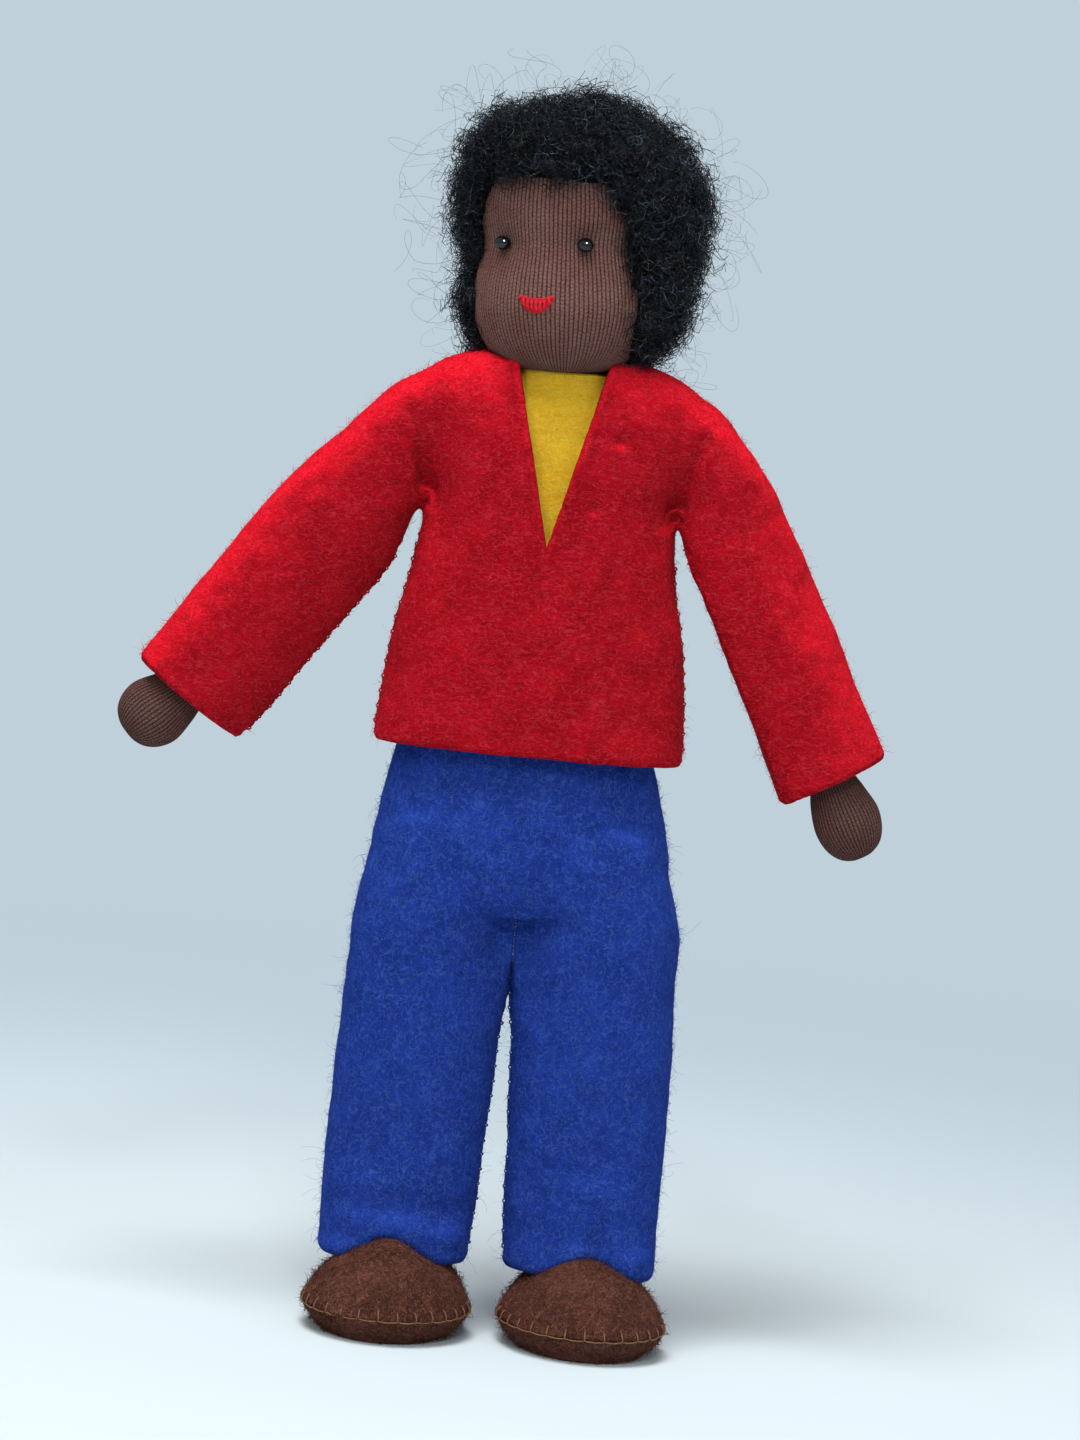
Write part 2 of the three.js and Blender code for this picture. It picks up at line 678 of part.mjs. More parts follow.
function arm(name, { side, angle, twist, wristLean }) {
  const tag = name[0];
  const shoulder = frameAt(chest, `arm_${tag}`, (side * shoulderSpacing) / 2, 0, shoulderHeight);
  shoulder.rotation.y = -side * radians(angle);
  const elbow = frameAt(shoulder, `elbow_${tag}`, 0, 0, -upperArmLength);
  elbow.rotation.z = radians(twist);
  const wrist = frameAt(elbow, `wrist_${tag}`, 0, 0, -foreArmLength);
  wrist.rotation.y = -side * radians(wristLean);

  // Sleeve above the elbow: a shell with a round cap, open towards the chest and the elbow
  const half = touch / 2;
  const upper = sleeveRings(side, -sleeveCapHeight, upperArmLength - half, twist);
  const outside = loft(upper, sleeveFacets.sides, 2.4);
  const inner = grown(upper, -felt).filter((ring) => ring.w > 1 && ring.d > 1);
  const lowered = inner.map((ring) => ({ ...ring, z: Math.min(ring.z, sleeveCapHeight - felt) }));
  const distinct = lowered.filter((ring, i) => i === 0 || ring.z > lowered[i - 1].z + 1e-3);
  const hollow = loft(longer(distinct, reach / 3, 0), sleeveFacets.sides, 2.4);
  const body = tunicSolid(grown(longer(tunicRings, 0, touch), touch));
  const cut = body.transform(between(chest, shoulder).elements);
  add(shoulder, `sleeve_upper_${name}`, outside.subtract(hollow).subtract(cut), red);

  add(shoulder, `shoulder_knot_${name}`, ball(shoulderKnot), wool);
  const armFrom = shoulderKnot + touch;
  add(shoulder, `upper_arm_winding_${name}`, winding(
    armWinding,
    armFrom,
    upperArmLength - 2.4,
    upperArmLength,
    wireRadius + touch,
  ), wool);
  add(shoulder, `upper_arm_wire_${name}`, straightWire(wireRadius, armFrom, upperArmLength - bendGap), steel);

  // Sleeve below the elbow, in the elbow's own twisted frame
  const tube = sleeveRings(side, upperArmLength + half, cuffReach, 0)
    .map((ring) => ({ ...ring, z: ring.z + upperArmLength }));
  const bore = loft(longer(grown(tube, -felt), reach, reach), sleeveFacets.sides, 2.4);
  add(elbow, `sleeve_lower_${name}`, loft(tube, sleeveFacets.sides, 2.4).subtract(bore), red);
  add(elbow, `forearm_winding_${name}`, winding(
    armWinding,
    2.4,
    foreArmLength - 2.2,
    foreArmLength,
    wireRadius + touch,
  ), wool);
  add(elbow, `forearm_wire_${name}`, straightWire(wireRadius, bendGap, foreArmLength - hingeGap), steel);

  // Hand: a knitted mitten over a hook of wire
  const handRings = smooth([
    { w: 0.6, d: 0.5, z: -handLength },
    { w: 2.6, d: 2.2, z: -handLength + 0.7 },
    { w: handPalm.w - 0.5, d: handPalm.d - 0.3, z: -handLength + 2.6 },
    { ...handPalm, z: -handLength * 0.65 },
    { w: (handPalm.w + handWrist.w) / 2, d: (handPalm.d + handWrist.d) / 2, z: -handLength * 0.42 },
    { ...handWrist, z: -handLength * 0.2 },
    { w: handWrist.w - 0.4, d: handWrist.d - 0.3, z: -0.8 },
  ], handFacets.rings);
  const palmInside = grown(handRings, -mittenKnit)
    .filter((ring) => ring.w > 0.8 && ring.d > 0.8)
    .map((ring) => ({ ...ring, z: Math.max(ring.z, -handLength + mittenKnit) }));
  const pocketRings = palmInside.filter((ring, i) => i === 0 || ring.z > palmInside[i - 1].z + 1e-3);
  const pocket = loft(longer(pocketRings, 0, reach / 3), handFacets.sides, 2);
  add(wrist, `hand_${name}`, loft(handRings, handFacets.sides, 2).subtract(pocket), skin);
  const hookHalf = handPalm.w - mittenKnit - touch - handWireRadius - 0.2;
  add(wrist, `hand_wire_${name}`, wire([
    [0, 0, -hingeGap],
    [0, 0, -handLength * 0.22],
    [-hookHalf * 0.75, 0, -handLength * 0.42],
    [-hookHalf, 0, -handLength * 0.62],
    [0, 0, -handLength + mittenKnit + touch + handWireRadius + 0.4],
    [hookHalf, 0, -handLength * 0.62],
    [hookHalf * 0.8, 0, -handLength * 0.48],
  ], handWireRadius, 16), steel);
  const tie = threadRing(handWrist.w + touch + tieRadius, tieRadius);
  add(wrist, `wrist_tie_${name}`, tie.translate([0, 0, -handLength * 0.16]), brownThread);
}

for (const [name, pose] of Object.entries(arms)) arm(name, pose);

// Legs

function legRings(side) {
  const rings = [
    { ...legTop, t: -seatBottomHeight - 1 },
    { ...legHip, t: 0 },
    { ...legCrotch, t: legCrotchDrop },
    { ...legKnee, t: thighLength },
    { ...legCuff, t: legLength },
  ].map(({ w, d, x, t }) => ({ w, d, x: -side * x, z: -t }));
  return smooth(rings.reverse(), legFacets.rings);
}

// Shoe, from the floor under the ankle: a felt dome sewn to a shallow felt bowl

function shoeDome(by) {
  const rise = shoeTopHeight - shoeRimHeight;
  const rings = [];
  const rows = shoeFacets.rings;
  for (let i = 0; i <= rows; i += 1) {
    const turn = (Math.PI / 2) * (i / rows);
    const share = Math.max(Math.cos(turn) ** 0.8, 0.04);
    rings.push({
      w: Math.max(shoeHalfWidth * share + by, 0.3),
      d: Math.max(shoeHalfLength * share + by, 0.3),
      y: -shoeForward * (0.25 + 0.75 * share),
      z: shoeRimHeight + touch / 2 + (rise + by) * Math.sin(turn),
    });
  }
  return rings;
}

function shoeUpper() {
  const dome = loft(shoeDome(0), shoeFacets.sides, 2);
  const hollow = loft(longer(shoeDome(-felt), reach / 3, 0), shoeFacets.sides, 2);
  return dome.subtract(hollow).subtract(rod(ankleHole, shoeRimHeight + 2, reach, 12));
}

function shoeSole() {
  const rim = { w: shoeHalfWidth, d: shoeHalfLength, y: -shoeForward, z: shoeRimHeight - touch / 2 };
  const flat = { ...shoeFlat, y: -shoeForward, z: 0 };
  const belly = {
    w: shoeHalfWidth - 1,
    d: shoeHalfLength - 1,
    y: -shoeForward,
    z: shoeRimHeight * 0.42,
  };
  const insideFlat = { ...flat, w: flat.w, d: flat.d, z: felt };
  const insideRim = { ...rim, w: rim.w - felt, d: rim.d - felt };
  const hollow = loft(longer([insideFlat, insideRim], 0, reach / 3), shoeFacets.sides, 2);
  return loft([flat, belly, rim], shoeFacets.sides, 2).subtract(hollow);
}

function footWeight() {
  const low = felt + touch;
  const oval = { w: shoeFlat.w - weightInset, d: shoeFlat.d - weightInset, y: -shoeForward };
  return loft([{ ...oval, z: low }, { ...oval, z: low + weightThickness }], shoeFacets.sides, 2);
}

function footWire() {
  const low = felt + touch + weightThickness + touch + wireRadius;
  return wire([
    [0, 0, ankleHeight - hingeGap],
    [0, 0, ankleHeight * 0.74],
    [-footLoop.w * 0.4, -footLoop.d * 0.14, low + wireRadius],
    [-footLoop.w, -footLoop.d * 0.44, low],
    [-footLoop.w * 0.75, -footLoop.d * 0.86, low],
    [0, -footLoop.d, low],
    [footLoop.w * 0.75, -footLoop.d * 0.86, low],
    [footLoop.w, -footLoop.d * 0.46, low],
    [footLoop.w * 0.6, -footLoop.d * 0.26, low],
  ], wireRadius, 18);
}

function leg(name, side) {
  const tag = name[0];
  const hip = frameAt(pelvis, `leg_${tag}`, (side * hipSpacing) / 2, 0, 0);
  hip.rotation.y = -side * radians(legSplay);
  const knee = frameAt(hip, `knee_${tag}`, 0, 0, -thighLength);
  const ankle = frameAt(knee, `ankle_${tag}`, 0, 0, -shinLength);
  ankle.rotation.set(0, side * radians(legSplay), side * radians(toeOut));
  const sole = frameAt(ankle, `sole_${tag}`, 0, 0, -ankleHeight);

  const rings = legRings(side);
  const half = touch / 2;
  const tube = (low, high, by) => {
    const part = cutRings(rings, low, high);
    return loft(by ? longer(grown(part, -by), reach, reach) : part, legFacets.sides, 2.4);
  };

  // The two trouser legs meet on the middle plane, and both end under the seat.
  const middle = block(reach, reach, 2 * reach).translate([side * (half - reach / 2), 0, 0]);
  const above = block(2 * reach, reach, reach).translate([0, 0, seatBottomHeight - touch + reach / 2]);
  const toHip = between(pelvis, hip).elements;
  const thigh = tube(-thighLength + half, seatBottomHeight + 1, 0)
    .subtract(tube(-thighLength, seatBottomHeight, felt))
    .subtract(middle.transform(toHip))
    .subtract(above.transform(toHip));
  add(hip, `trouser_thigh_${name}`, thigh, blue);
  add(hip, `hip_knot_${name}`, ball(hipKnot), wool);
  const from = hipKnot + touch;
  add(hip, `thigh_winding_${name}`, winding(
    legWinding,
    from,
    thighLength - 2.4,
    thighLength,
    wireRadius + touch,
  ), wool);
  add(hip, `thigh_wire_${name}`, straightWire(wireRadius, from, thighLength - bendGap), steel);

  // Below the knee: the cuff rides up over the shoe.
  const shoe = loft(longer(shoeDome(touch), reach / 3, 0), shoeFacets.sides, 2);
  const toKnee = between(sole, knee).elements;
  const floor = block(2 * reach, 2 * reach, reach).translate([0, 0, cuffHeight - reach / 2]);
  const drop = new THREE.Matrix4().makeTranslation(0, 0, thighLength);
  const shin = tube(-legLength, -thighLength - half, 0)
    .subtract(tube(-legLength, -thighLength, felt))
    .transform(drop.elements)
    .subtract(floor.transform(toKnee))
    .subtract(shoe.transform(toKnee));
  add(knee, `trouser_shin_${name}`, shin, blue);
  const shinEnd = shinLength - (shoeTopHeight - ankleHeight) - ankleRoom;
  add(knee, `shin_winding_${name}`, winding(
    legWinding,
    2.4,
    shinEnd,
    shinLength,
    wireRadius + touch,
  ), wool);
  add(knee, `shin_wire_${name}`, straightWire(wireRadius, bendGap, shinLength - hingeGap), steel);

  add(sole, `shoe_upper_${name}`, shoeUpper(), brown);
  add(sole, `shoe_sole_${name}`, shoeSole(), brown);
  add(sole, `foot_weight_${name}`, footWeight(), steel);
  add(sole, `foot_wire_${name}`, footWire(), steel);
}

leg('left', 1);
leg('right', -1);

// The origin is on the floor, in the middle of the doll's outline seen from above.
const box = new THREE.Box3().setFromObject(doll, true);
doll.position.set(-(box.min.x + box.max.x) / 2, -(box.min.y + box.max.y) / 2, -box.min.z);

const group = new THREE.Group();
group.add(doll);
group.updateMatrixWorld(true);

export default group;
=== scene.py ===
import json
import math

import bmesh
import bpy
import numpy as np
from bpy.props import FloatProperty, FloatVectorProperty, PointerProperty
from mathutils import Matrix, Vector, noise
from mathutils.bvhtree import BVHTree

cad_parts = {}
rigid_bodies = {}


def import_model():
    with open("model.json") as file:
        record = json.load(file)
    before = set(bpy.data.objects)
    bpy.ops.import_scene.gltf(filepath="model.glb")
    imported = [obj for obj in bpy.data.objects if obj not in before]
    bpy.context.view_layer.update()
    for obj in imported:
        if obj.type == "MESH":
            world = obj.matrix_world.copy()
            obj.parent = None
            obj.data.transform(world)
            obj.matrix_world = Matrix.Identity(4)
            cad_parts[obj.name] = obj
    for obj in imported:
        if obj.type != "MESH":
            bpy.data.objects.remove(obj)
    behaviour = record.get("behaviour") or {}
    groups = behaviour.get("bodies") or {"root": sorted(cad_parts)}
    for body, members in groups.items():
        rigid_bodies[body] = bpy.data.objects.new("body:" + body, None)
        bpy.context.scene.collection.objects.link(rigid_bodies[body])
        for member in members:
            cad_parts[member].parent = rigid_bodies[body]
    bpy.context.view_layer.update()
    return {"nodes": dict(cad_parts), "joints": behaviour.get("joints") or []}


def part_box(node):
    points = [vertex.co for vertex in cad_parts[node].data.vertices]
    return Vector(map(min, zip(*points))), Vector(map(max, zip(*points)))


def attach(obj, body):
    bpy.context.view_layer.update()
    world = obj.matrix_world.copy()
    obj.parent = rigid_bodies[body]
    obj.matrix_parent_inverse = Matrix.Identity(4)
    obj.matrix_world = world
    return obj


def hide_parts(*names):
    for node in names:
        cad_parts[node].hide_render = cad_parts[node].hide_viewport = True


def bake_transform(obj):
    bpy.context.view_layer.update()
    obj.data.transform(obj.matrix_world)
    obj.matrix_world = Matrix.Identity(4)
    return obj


bl_info = {
    "name": "Felt doll", "version": (1, 0, 0), "blender": (4, 5, 0),
    "location": "View3D > Sidebar > Doll",
    "description": "Dresses a bendable felt doll round its packed frame", "category": "Object"}

MM = 0.001
# Stands in for a length of nothing that something is divided by.
TINY = 1e-9

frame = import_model()


# Colours


def linear(red, green, blue):
    """A colour as seen on a screen, 0 to 255, as the renderer's light values."""
    shares = (red / 255, green / 255, blue / 255)
    return tuple(s / 12.92 if s <= 0.04045 else ((s + 0.055) / 1.055) ** 2.4 for s in shares)


def opaque(colour):
    return (*colour[:3], 1.0)


def scaled(colour, by):
    return tuple(c * by for c in colour[:3])


# Settings


def setting(kind, **limits):
    """A maker of settings of one kind, each with its name, description and default."""

    def make(name, description, default):
        return kind(name=name, description=description, default=default, **limits)

    return make


length = setting(FloatProperty, min=0, soft_max=1, precision=5, unit="LENGTH")
amount = setting(FloatProperty, min=0)
angle = setting(FloatProperty, subtype="ANGLE")
colour = setting(FloatVectorProperty, size=3, min=0, max=1, subtype="COLOR")


class FeltSettings(bpy.types.PropertyGroup):
    """The felt of the clothes and the shoes"""

    thickness: length("Thickness", "Thickness of the clothes' felt", 0.0013)
    grain: length("Grain", "Size of the faces that the felt is made of", 0.00045)
    lumps: length("Lumps", "Height of the felt's soft waves", 0.00028)
    nap: amount("Nap", "Short fibres on a square millimetre", 2.4)
    fuzz: amount("Fuzz", "Long loose fibres on a square millimetre", 0.16)
    tunic: colour("Tunic", "Colour of the tunic", linear(172, 6, 24))
    undershirt: colour("Undershirt", "Colour of the undershirt", linear(255, 194, 42))
    trousers: colour("Trousers", "Colour of the trousers", linear(28, 56, 142))
    shoes: colour("Shoes", "Colour of the shoes", linear(62, 34, 27))


class KnitSettings(bpy.types.PropertyGroup):
    """The knitted head and hands"""

    wale: length("Wale", "Distance from one rib of the knit to the next", 0.00052)
    course: length("Course", "Height of one knitted stitch", 0.00046)
    rib: length("Rib", "Height of the ribs", 0.00011)
    skin: colour("Skin", "Colour of the ribs", linear(131, 97, 89))
    # The gap colour darkens the knit between the ribs and stitches: painted shade in the grooves.
    gap: colour("Gap", "Colour between the ribs", linear(34, 15, 15))


class HairSettings(bpy.types.PropertyGroup):
    """The curly hair"""

    curls: amount("Curls", "Curls on a square millimetre", 4.2)
    strays: amount("Strays", "Loose hairs on a square millimetre", 0.26)
    thickness: length("Thickness", "Thickness of one hair", 0.000085)
    hair: colour("Hair", "Colour of the hair", linear(9, 12, 15))


class ThreadSettings(bpy.types.PropertyGroup):
    """Sewing threads"""

    pitch: length("Pitch", "Distance between the shoes' stitches", 0.0023)
    seam_pitch: length("Seam pitch", "Distance between the clothes' stitches", 0.0018)
    thickness: length("Thickness", "Thickness of a thread", 0.00018)
    tan: colour("Shoe thread", "Colour of the shoes' thread", linear(150, 108, 80))
    mouth: colour("Mouth", "Colour of the mouth's thread", linear(226, 38, 52))


class StageSettings(bpy.types.PropertyGroup):
    """Backdrop, lamps and camera"""

    distance: length("Distance", "From the camera to the doll", 0.7)
    elevation: angle("Elevation", "How far the camera looks down", math.radians(5))
    roll: angle("Roll", "How far the camera is turned about its own axis", math.radians(5.5))
    view_height: length("View height", "Height of the picture at the doll", 0.1710)
    backdrop: colour("Backdrop", "Colour of the backdrop", linear(192, 208, 218))
    floor: colour("Floor", "Colour of the floor", linear(205, 217, 222))


# Node trees


def combined(operation, turned=False):
    """A method that combines a signal with others, which come first if turned."""

    def combine(self, *others):
        values = (*others, self) if turned else (self, *others)
        settings = {"operation": operation}
        return self.nodes.node("ShaderNodeMath", settings, dict(enumerate(values)))

    return combine


class Signal:
    """One socket of a node tree, on which sums are written as Python writes them."""

    __add__ = __radd__ = combined("ADD")
    __mul__ = __rmul__ = combined("MULTIPLY")
    __sub__, __rsub__ = combined("SUBTRACT"), combined("SUBTRACT", True)
    __abs__ = combined("ABSOLUTE")
    fraction, sine, most = combined("FRACT"), combined("SINE"), combined("MAXIMUM")

    def __init__(self, nodes, socket):
        self.nodes = nodes
        self.socket = socket

    def part(self, axis):
        return self.nodes.node("ShaderNodeSeparateXYZ", None, {0: self}, axis)

    def rise(self, low, high):
        """0 below low, 1 above high, and a soft step between them."""
        return self.nodes.node(
            "ShaderNodeMapRange", {"interpolation_type": "SMOOTHSTEP"}, {0: self, 1: low, 2: high})


class Nodes:
    """Adds nodes to a tree, each with its settings and the values or links of its sockets."""

    def __init__(self, tree):
        self.tree = tree
        self.tree.nodes.clear()

    def node(self, kind, settings=None, inputs=None, output=0):
        made = self.tree.nodes.new(kind)
        for key, value in (settings or {}).items():
            if key == "stops":
                set_stops(made.color_ramp, value)
            else:
                setattr(made, key, value)
        for key, value in (inputs or {}).items():
            if isinstance(value, Signal):
                self.tree.links.new(value.socket, made.inputs[key])
            elif value is not None:
                made.inputs[key].default_value = value
        return Signal(self, made.outputs[output]) if len(made.outputs) else None

    def random(self, kind, low, high, seed):
        """A number or a vector between two others, drawn anew for each point."""
        at = ("FLOAT_VECTOR", "FLOAT", "INT").index(kind)
        ends = {2 * at: low, 2 * at + 1: high, "Seed": seed}
        return self.node("FunctionNodeRandomValue", {"data_type": kind}, ends, at)


def set_stops(ramp, stops):
    while len(ramp.elements) < len(stops):
        ramp.elements.new(0.5)
    for element, (place, shade) in zip(ramp.elements, stops):
        element.position = place
        element.color = opaque(shade)


class Finish(Nodes):
    """A material made of nodes."""

    def __init__(self, name):
        self.material = bpy.data.materials.new(name)
        self.material.use_nodes = True
        super().__init__(self.material.node_tree)

    def place(self):
        """The place on the object, in millimetres."""
        at = self.node("ShaderNodeTexCoord", output="Object")
        return self.moved(at, (1000, 1000, 1000))

    def moved(self, at, scale=(1, 1, 1), turn=(0, 0, 0)):
        return self.node(
            "ShaderNodeMapping", None, {"Vector": at, "Scale": scale, "Rotation": turn})

    def noise(self, at, scale, detail=2.0, roughness=0.5, distortion=0.0):
        return self.node(
            "ShaderNodeTexNoise", None,
            {
                "Vector": at, "Scale": scale, "Detail": detail, "Roughness": roughness,
                "Distortion": distortion})

    def mixed(self, share, one, other, mode="MIX"):
        settings = {"data_type": "RGBA", "blend_type": mode, "clamp_factor": True}
        one, other = (v if isinstance(v, Signal) else opaque(v) for v in (one, other))
        return self.node("ShaderNodeMix", settings, {0: share, 6: one, 7: other}, 2)

    def bump(self, height, depth, strength=1.0):
        return self.node(
            "ShaderNodeBump", None, {"Height": height, "Distance": depth, "Strength": strength})

    def surface(self, **sockets):
        """Ends the tree in a surface whose sockets are named with _ for a space."""
        inputs = {k.replace("_", " "): v for k, v in sockets.items()}
        if not isinstance(inputs["Base Color"], Signal):
            inputs["Base Color"] = opaque(inputs["Base Color"])
        shader = self.node("ShaderNodeBsdfPrincipled", None, inputs)
        self.node("ShaderNodeOutputMaterial", None, {"Surface": shader})
        return self.material


def fibres(finish, at, layers, width):
    """Thin curved lines that cross each other, 0 between them and 1 on them."""
    web = None
    for scale, turn, stretch in layers:
        run = finish.moved(at, stretch, turn)
        wander = finish.noise(run, scale, 2.0, 0.5, 0.7)
        line = (1 - abs(wander - 0.5) * width).most(0.0)
        web = line if web is None else web.most(line)
    return web


def felt_finish(name, shade, fleck, pale, deep, nap, grain=(1, 1, 2.2), painted_top_light=0.3, relief=0.00016):
    """Pressed wool: cloudy, with short pale fibres in every direction and a few flecks, and
    painted light on the faces that point up.
    """
    finish = Finish(name)
    at = finish.place()
    lie = finish.moved(at, grain)
    layers = (
        (1.1, (0.2, 0.4, 0.3), (1.0, 1.0, 1.6)), (1.7, (0.9, 0.1, 1.9), (1.8, 1.0, 1.0)),
        (2.6, (1.4, 0.8, 0.6), (1.0, 1.8, 1.0)))
    web = fibres(finish, lie, layers, 9.0)
    hairs = fibres(finish, lie, ((0.8, (2.4, 0.3, 1.1), (1.0, 1.4, 1.0)),), 24.0)
    cloud = finish.noise(at, 0.25, 3.0, 0.55).rise(0.35, 0.65)
    mottle = finish.noise(lie, 0.9, 5.0, 0.7, 0.6).rise(0.38, 0.62)
    crumb = finish.noise(lie, 3.6, 3.0, 0.65).rise(0.36, 0.64)
    dark = scaled(shade, deep)
    light = tuple(min(1.0, c * (1 + pale) + 0.006 * pale) for c in shade)
    ground = finish.mixed(mottle * 0.55 + crumb * 0.45, dark, shade)
    ground = finish.mixed(web * nap * (cloud * 0.5 + 0.5), ground, light)
    ground = finish.mixed(hairs * 0.35, ground, fleck)
    lint = finish.noise(finish.moved(at, (1.0, 1.0, 2.0)), 0.9, 0.0, 0.4, 0.8)
    stray = finish.noise(at, 0.8, 1.0).rise(0.68, 0.76)
    lint = (1 - abs(lint - 0.5) * 45).most(0.0) * stray
    ground = finish.mixed(lint * 0.7, ground, fleck)
    # Faces that point up are lightened: painted light from above.
    facing = finish.node("ShaderNodeTexCoord", output="Normal")
    top_light_mask = facing.part("Z").rise(0.08, 0.6)
    ground = finish.mixed(top_light_mask * painted_top_light, ground, light, "ADD")
    height = web * 0.6 + mottle * 0.5 + crumb * 0.5
    return finish.surface(
        Base_Color=ground, Roughness=0.95, Sheen_Weight=0.1, Sheen_Roughness=0.4,
        Sheen_Tint=opaque(light), Specular_IOR_Level=0.04, Normal=finish.bump(height, relief, 1.0))


def fuzz_finish(name, shade, lighter):
    finish = Finish(name)
    tone = finish.noise(finish.place(), 2.2, 1.0).rise(0.36, 0.64)
    light = tuple(min(1.0, c * lighter + 0.012) for c in shade)
    return finish.surface(
        Base_Color=finish.mixed(tone, shade, light), Roughness=0.8, Specular_IOR_Level=0.05)


def knit_finish(name, rib, gap):
    """Fine jersey: columns of small V stitches. The UV map counts wales and courses."""
    finish = Finish(name)
    count = finish.node("ShaderNodeTexCoord", output="UV")
    wale, course = count.part("X"), count.part("Y")
    at = finish.place()
    wobble = finish.noise(at, 1.1, 2.0) - 0.5
    across = abs((wale + wobble * 0.22).fraction() - 0.5) * 2
    groove = across.rise(0.45, 1.0)
    column = wale - wale.fraction()
    own = finish.node("ShaderNodeTexWhiteNoise", {"noise_dimensions": "1D"}, {"W": column})
    slant = course + own * 0.9 + wobble * 0.9 - across * 0.55
    stitch = (slant * math.tau).sine() * 0.5 + 0.5
    cord = (1 - groove) * (stitch * 0.45 + 0.55)
    tone = finish.noise(at, 0.3, 2.0).rise(0.3, 0.7)
    grain = finish.noise(at, 4.5, 3.0, 0.7).rise(0.36, 0.64)
    redder = (rib[0] * 0.85, rib[1] * 0.62, rib[2] * 0.62)
    shade = finish.mixed(tone * 0.6, rib, redder)
    # Darker between the ribs and between the stitches, in the gap colour: painted shade in the
    # grooves.
    shade = finish.mixed(cord * 0.7 + grain * 0.3, gap, shade)
    return finish.surface(
        Base_Color=shade, Roughness=0.92, Specular_IOR_Level=0.05,
        Normal=finish.bump(cord * 0.8 + grain * 0.2, 0.00014, 0.9))


def hair_finish(name, shade):
    finish = Finish(name)
    at = finish.place()
    tone = finish.noise(at, 1.4, 3.0).rise(0.35, 0.7)
    shine = finish.noise(at, 0.5, 2.0).rise(0.3, 0.75)
    light = (shade[0] * 1.8 + 0.002, shade[1] * 2.0 + 0.003, shade[2] * 2.4 + 0.005)
    return finish.surface(
        Base_Color=finish.mixed(tone * 0.6, scaled(shade, 0.4), light),
        Roughness=0.2 + shine * 0.25, Specular_IOR_Level=0.2)


def hair_ground_finish(name, shade):
    finish = Finish(name)
    at = finish.place()
    curl = fibres(
        finish, at, ((0.7, (0.3, 0.2, 0.1), (1, 1, 1)), (1.1, (1.2, 0.5, 0.3), (1, 1, 1))), 8.0)
    lump = finish.noise(at, 1.2, 4.0, 0.7).rise(0.3, 0.7)
    return finish.surface(
        Base_Color=finish.mixed(curl * 0.5, scaled(shade, 0.12), scaled(shade, 0.55)),
        Roughness=0.9, Specular_IOR_Level=0.1,
        Normal=finish.bump(curl * 0.6 + lump * 0.8, 0.0004, 1.0))


def bead_finish(name):
    finish = Finish(name)
    haze = finish.noise(finish.place(), 2.0, 2.0).rise(0.3, 0.8)
    return finish.surface(
        Base_Color=finish.mixed(haze * 0.4, (0.001, 0.0015, 0.002), (0.005, 0.006, 0.007)),
        Roughness=0.06 + haze * 0.05, Specular_IOR_Level=0.5)


def thread_finish(name, shade):
    """Spun thread. The UV map runs round it and along it, in twists."""
    finish = Finish(name)
    at = finish.place()
    grain = finish.noise(at, 7.0, 3.0, 0.7).rise(0.3, 0.7)
    tone = finish.noise(at, 0.9, 1.0).rise(0.3, 0.7)
    ply = finish.node("ShaderNodeTexCoord", output="UV")
    around, along = ply.part("X"), ply.part("Y")
    strand = ((around * 2 + along) * math.tau).sine() * 0.5 + 0.5
    light = tuple(min(1.0, c * 1.25) for c in shade)
    ground = finish.mixed(grain * 0.5 + tone * 0.5, scaled(shade, 0.7), light)
    # Darker in the grooves between the plies: painted shade.
    ground = finish.mixed(strand * 0.4, scaled(shade, 0.6), ground)
    return finish.surface(
        Base_Color=ground, Roughness=0.8, Specular_IOR_Level=0.06,
        Normal=finish.bump(strand * 0.7 + grain * 0.3, 0.00005, 1.0))


def wool_finish(name, shade):
    finish = Finish(name)
    at = finish.place()
    layers = ((1.2, (0.2, 0.4, 0.3), (1.0, 1.0, 2.0)), (2.0, (0.9, 0.1, 1.9), (2.0, 1.0, 1.0)))
    web = fibres(finish, at, layers, 9.0)
    lump = finish.noise(at, 0.9, 4.0, 0.6).rise(0.3, 0.7)
    ground = finish.mixed(lump * 0.5 + web * 0.5, scaled(shade, 0.65), shade)
    return finish.surface(
        Base_Color=ground, Roughness=1.0, Sheen_Weight=0.3,
        Normal=finish.bump(web * 0.5 + lump, 0.0003, 0.9))


def steel_finish(name):
    finish = Finish(name)
    at = finish.place()
    drawn = finish.noise(finish.moved(at, (6.0, 6.0, 0.3)), 2.0, 3.0)
    dull = finish.noise(at, 0.8, 3.0).rise(0.35, 0.75)
    return finish.surface(
        Base_Color=finish.mixed(dull, (0.5, 0.5, 0.52), (0.3, 0.29, 0.28)), Metallic=1.0,
        Roughness=0.28 + dull * 0.25, Normal=finish.bump(drawn, 0.00003, 0.5))


# Lofts, in millimetres


def spline(keys, count):
    """A few rows of numbers rounded out to count rows with a smooth curve through them."""
    keys = np.asarray(keys, float)
    at = np.linspace(0, len(keys) - 1, count)
    i = np.clip(at.astype(int), 0, len(keys) - 2)
    f = (at - i)[:, None]
    p = np.vstack([2 * keys[0] - keys[1], keys, 2 * keys[-1] - keys[-2]])
    a, b, c, d = p[i], p[i + 1], p[i + 2], p[i + 3]
    return 0.5 * (
        2 * b + (c - a) * f + (2 * a - 5 * b + 4 * c - d) * f**2 + (3 * b - a - 3 * c + d) * f**3)


def oval(sides, pointed=2.2, outer=2.2):
    """A flattened oval of half width and half depth 1, the side at -x pointed as asked."""
    turn = np.arange(sides) * 2 * np.pi / sides
    c, s = np.cos(turn), np.sin(turn)
    power = np.where(c < 0, 2 / pointed, 2 / outer)
    return np.stack([np.sign(c) * abs(c) ** power, np.sign(s) * abs(s) ** power], 1)


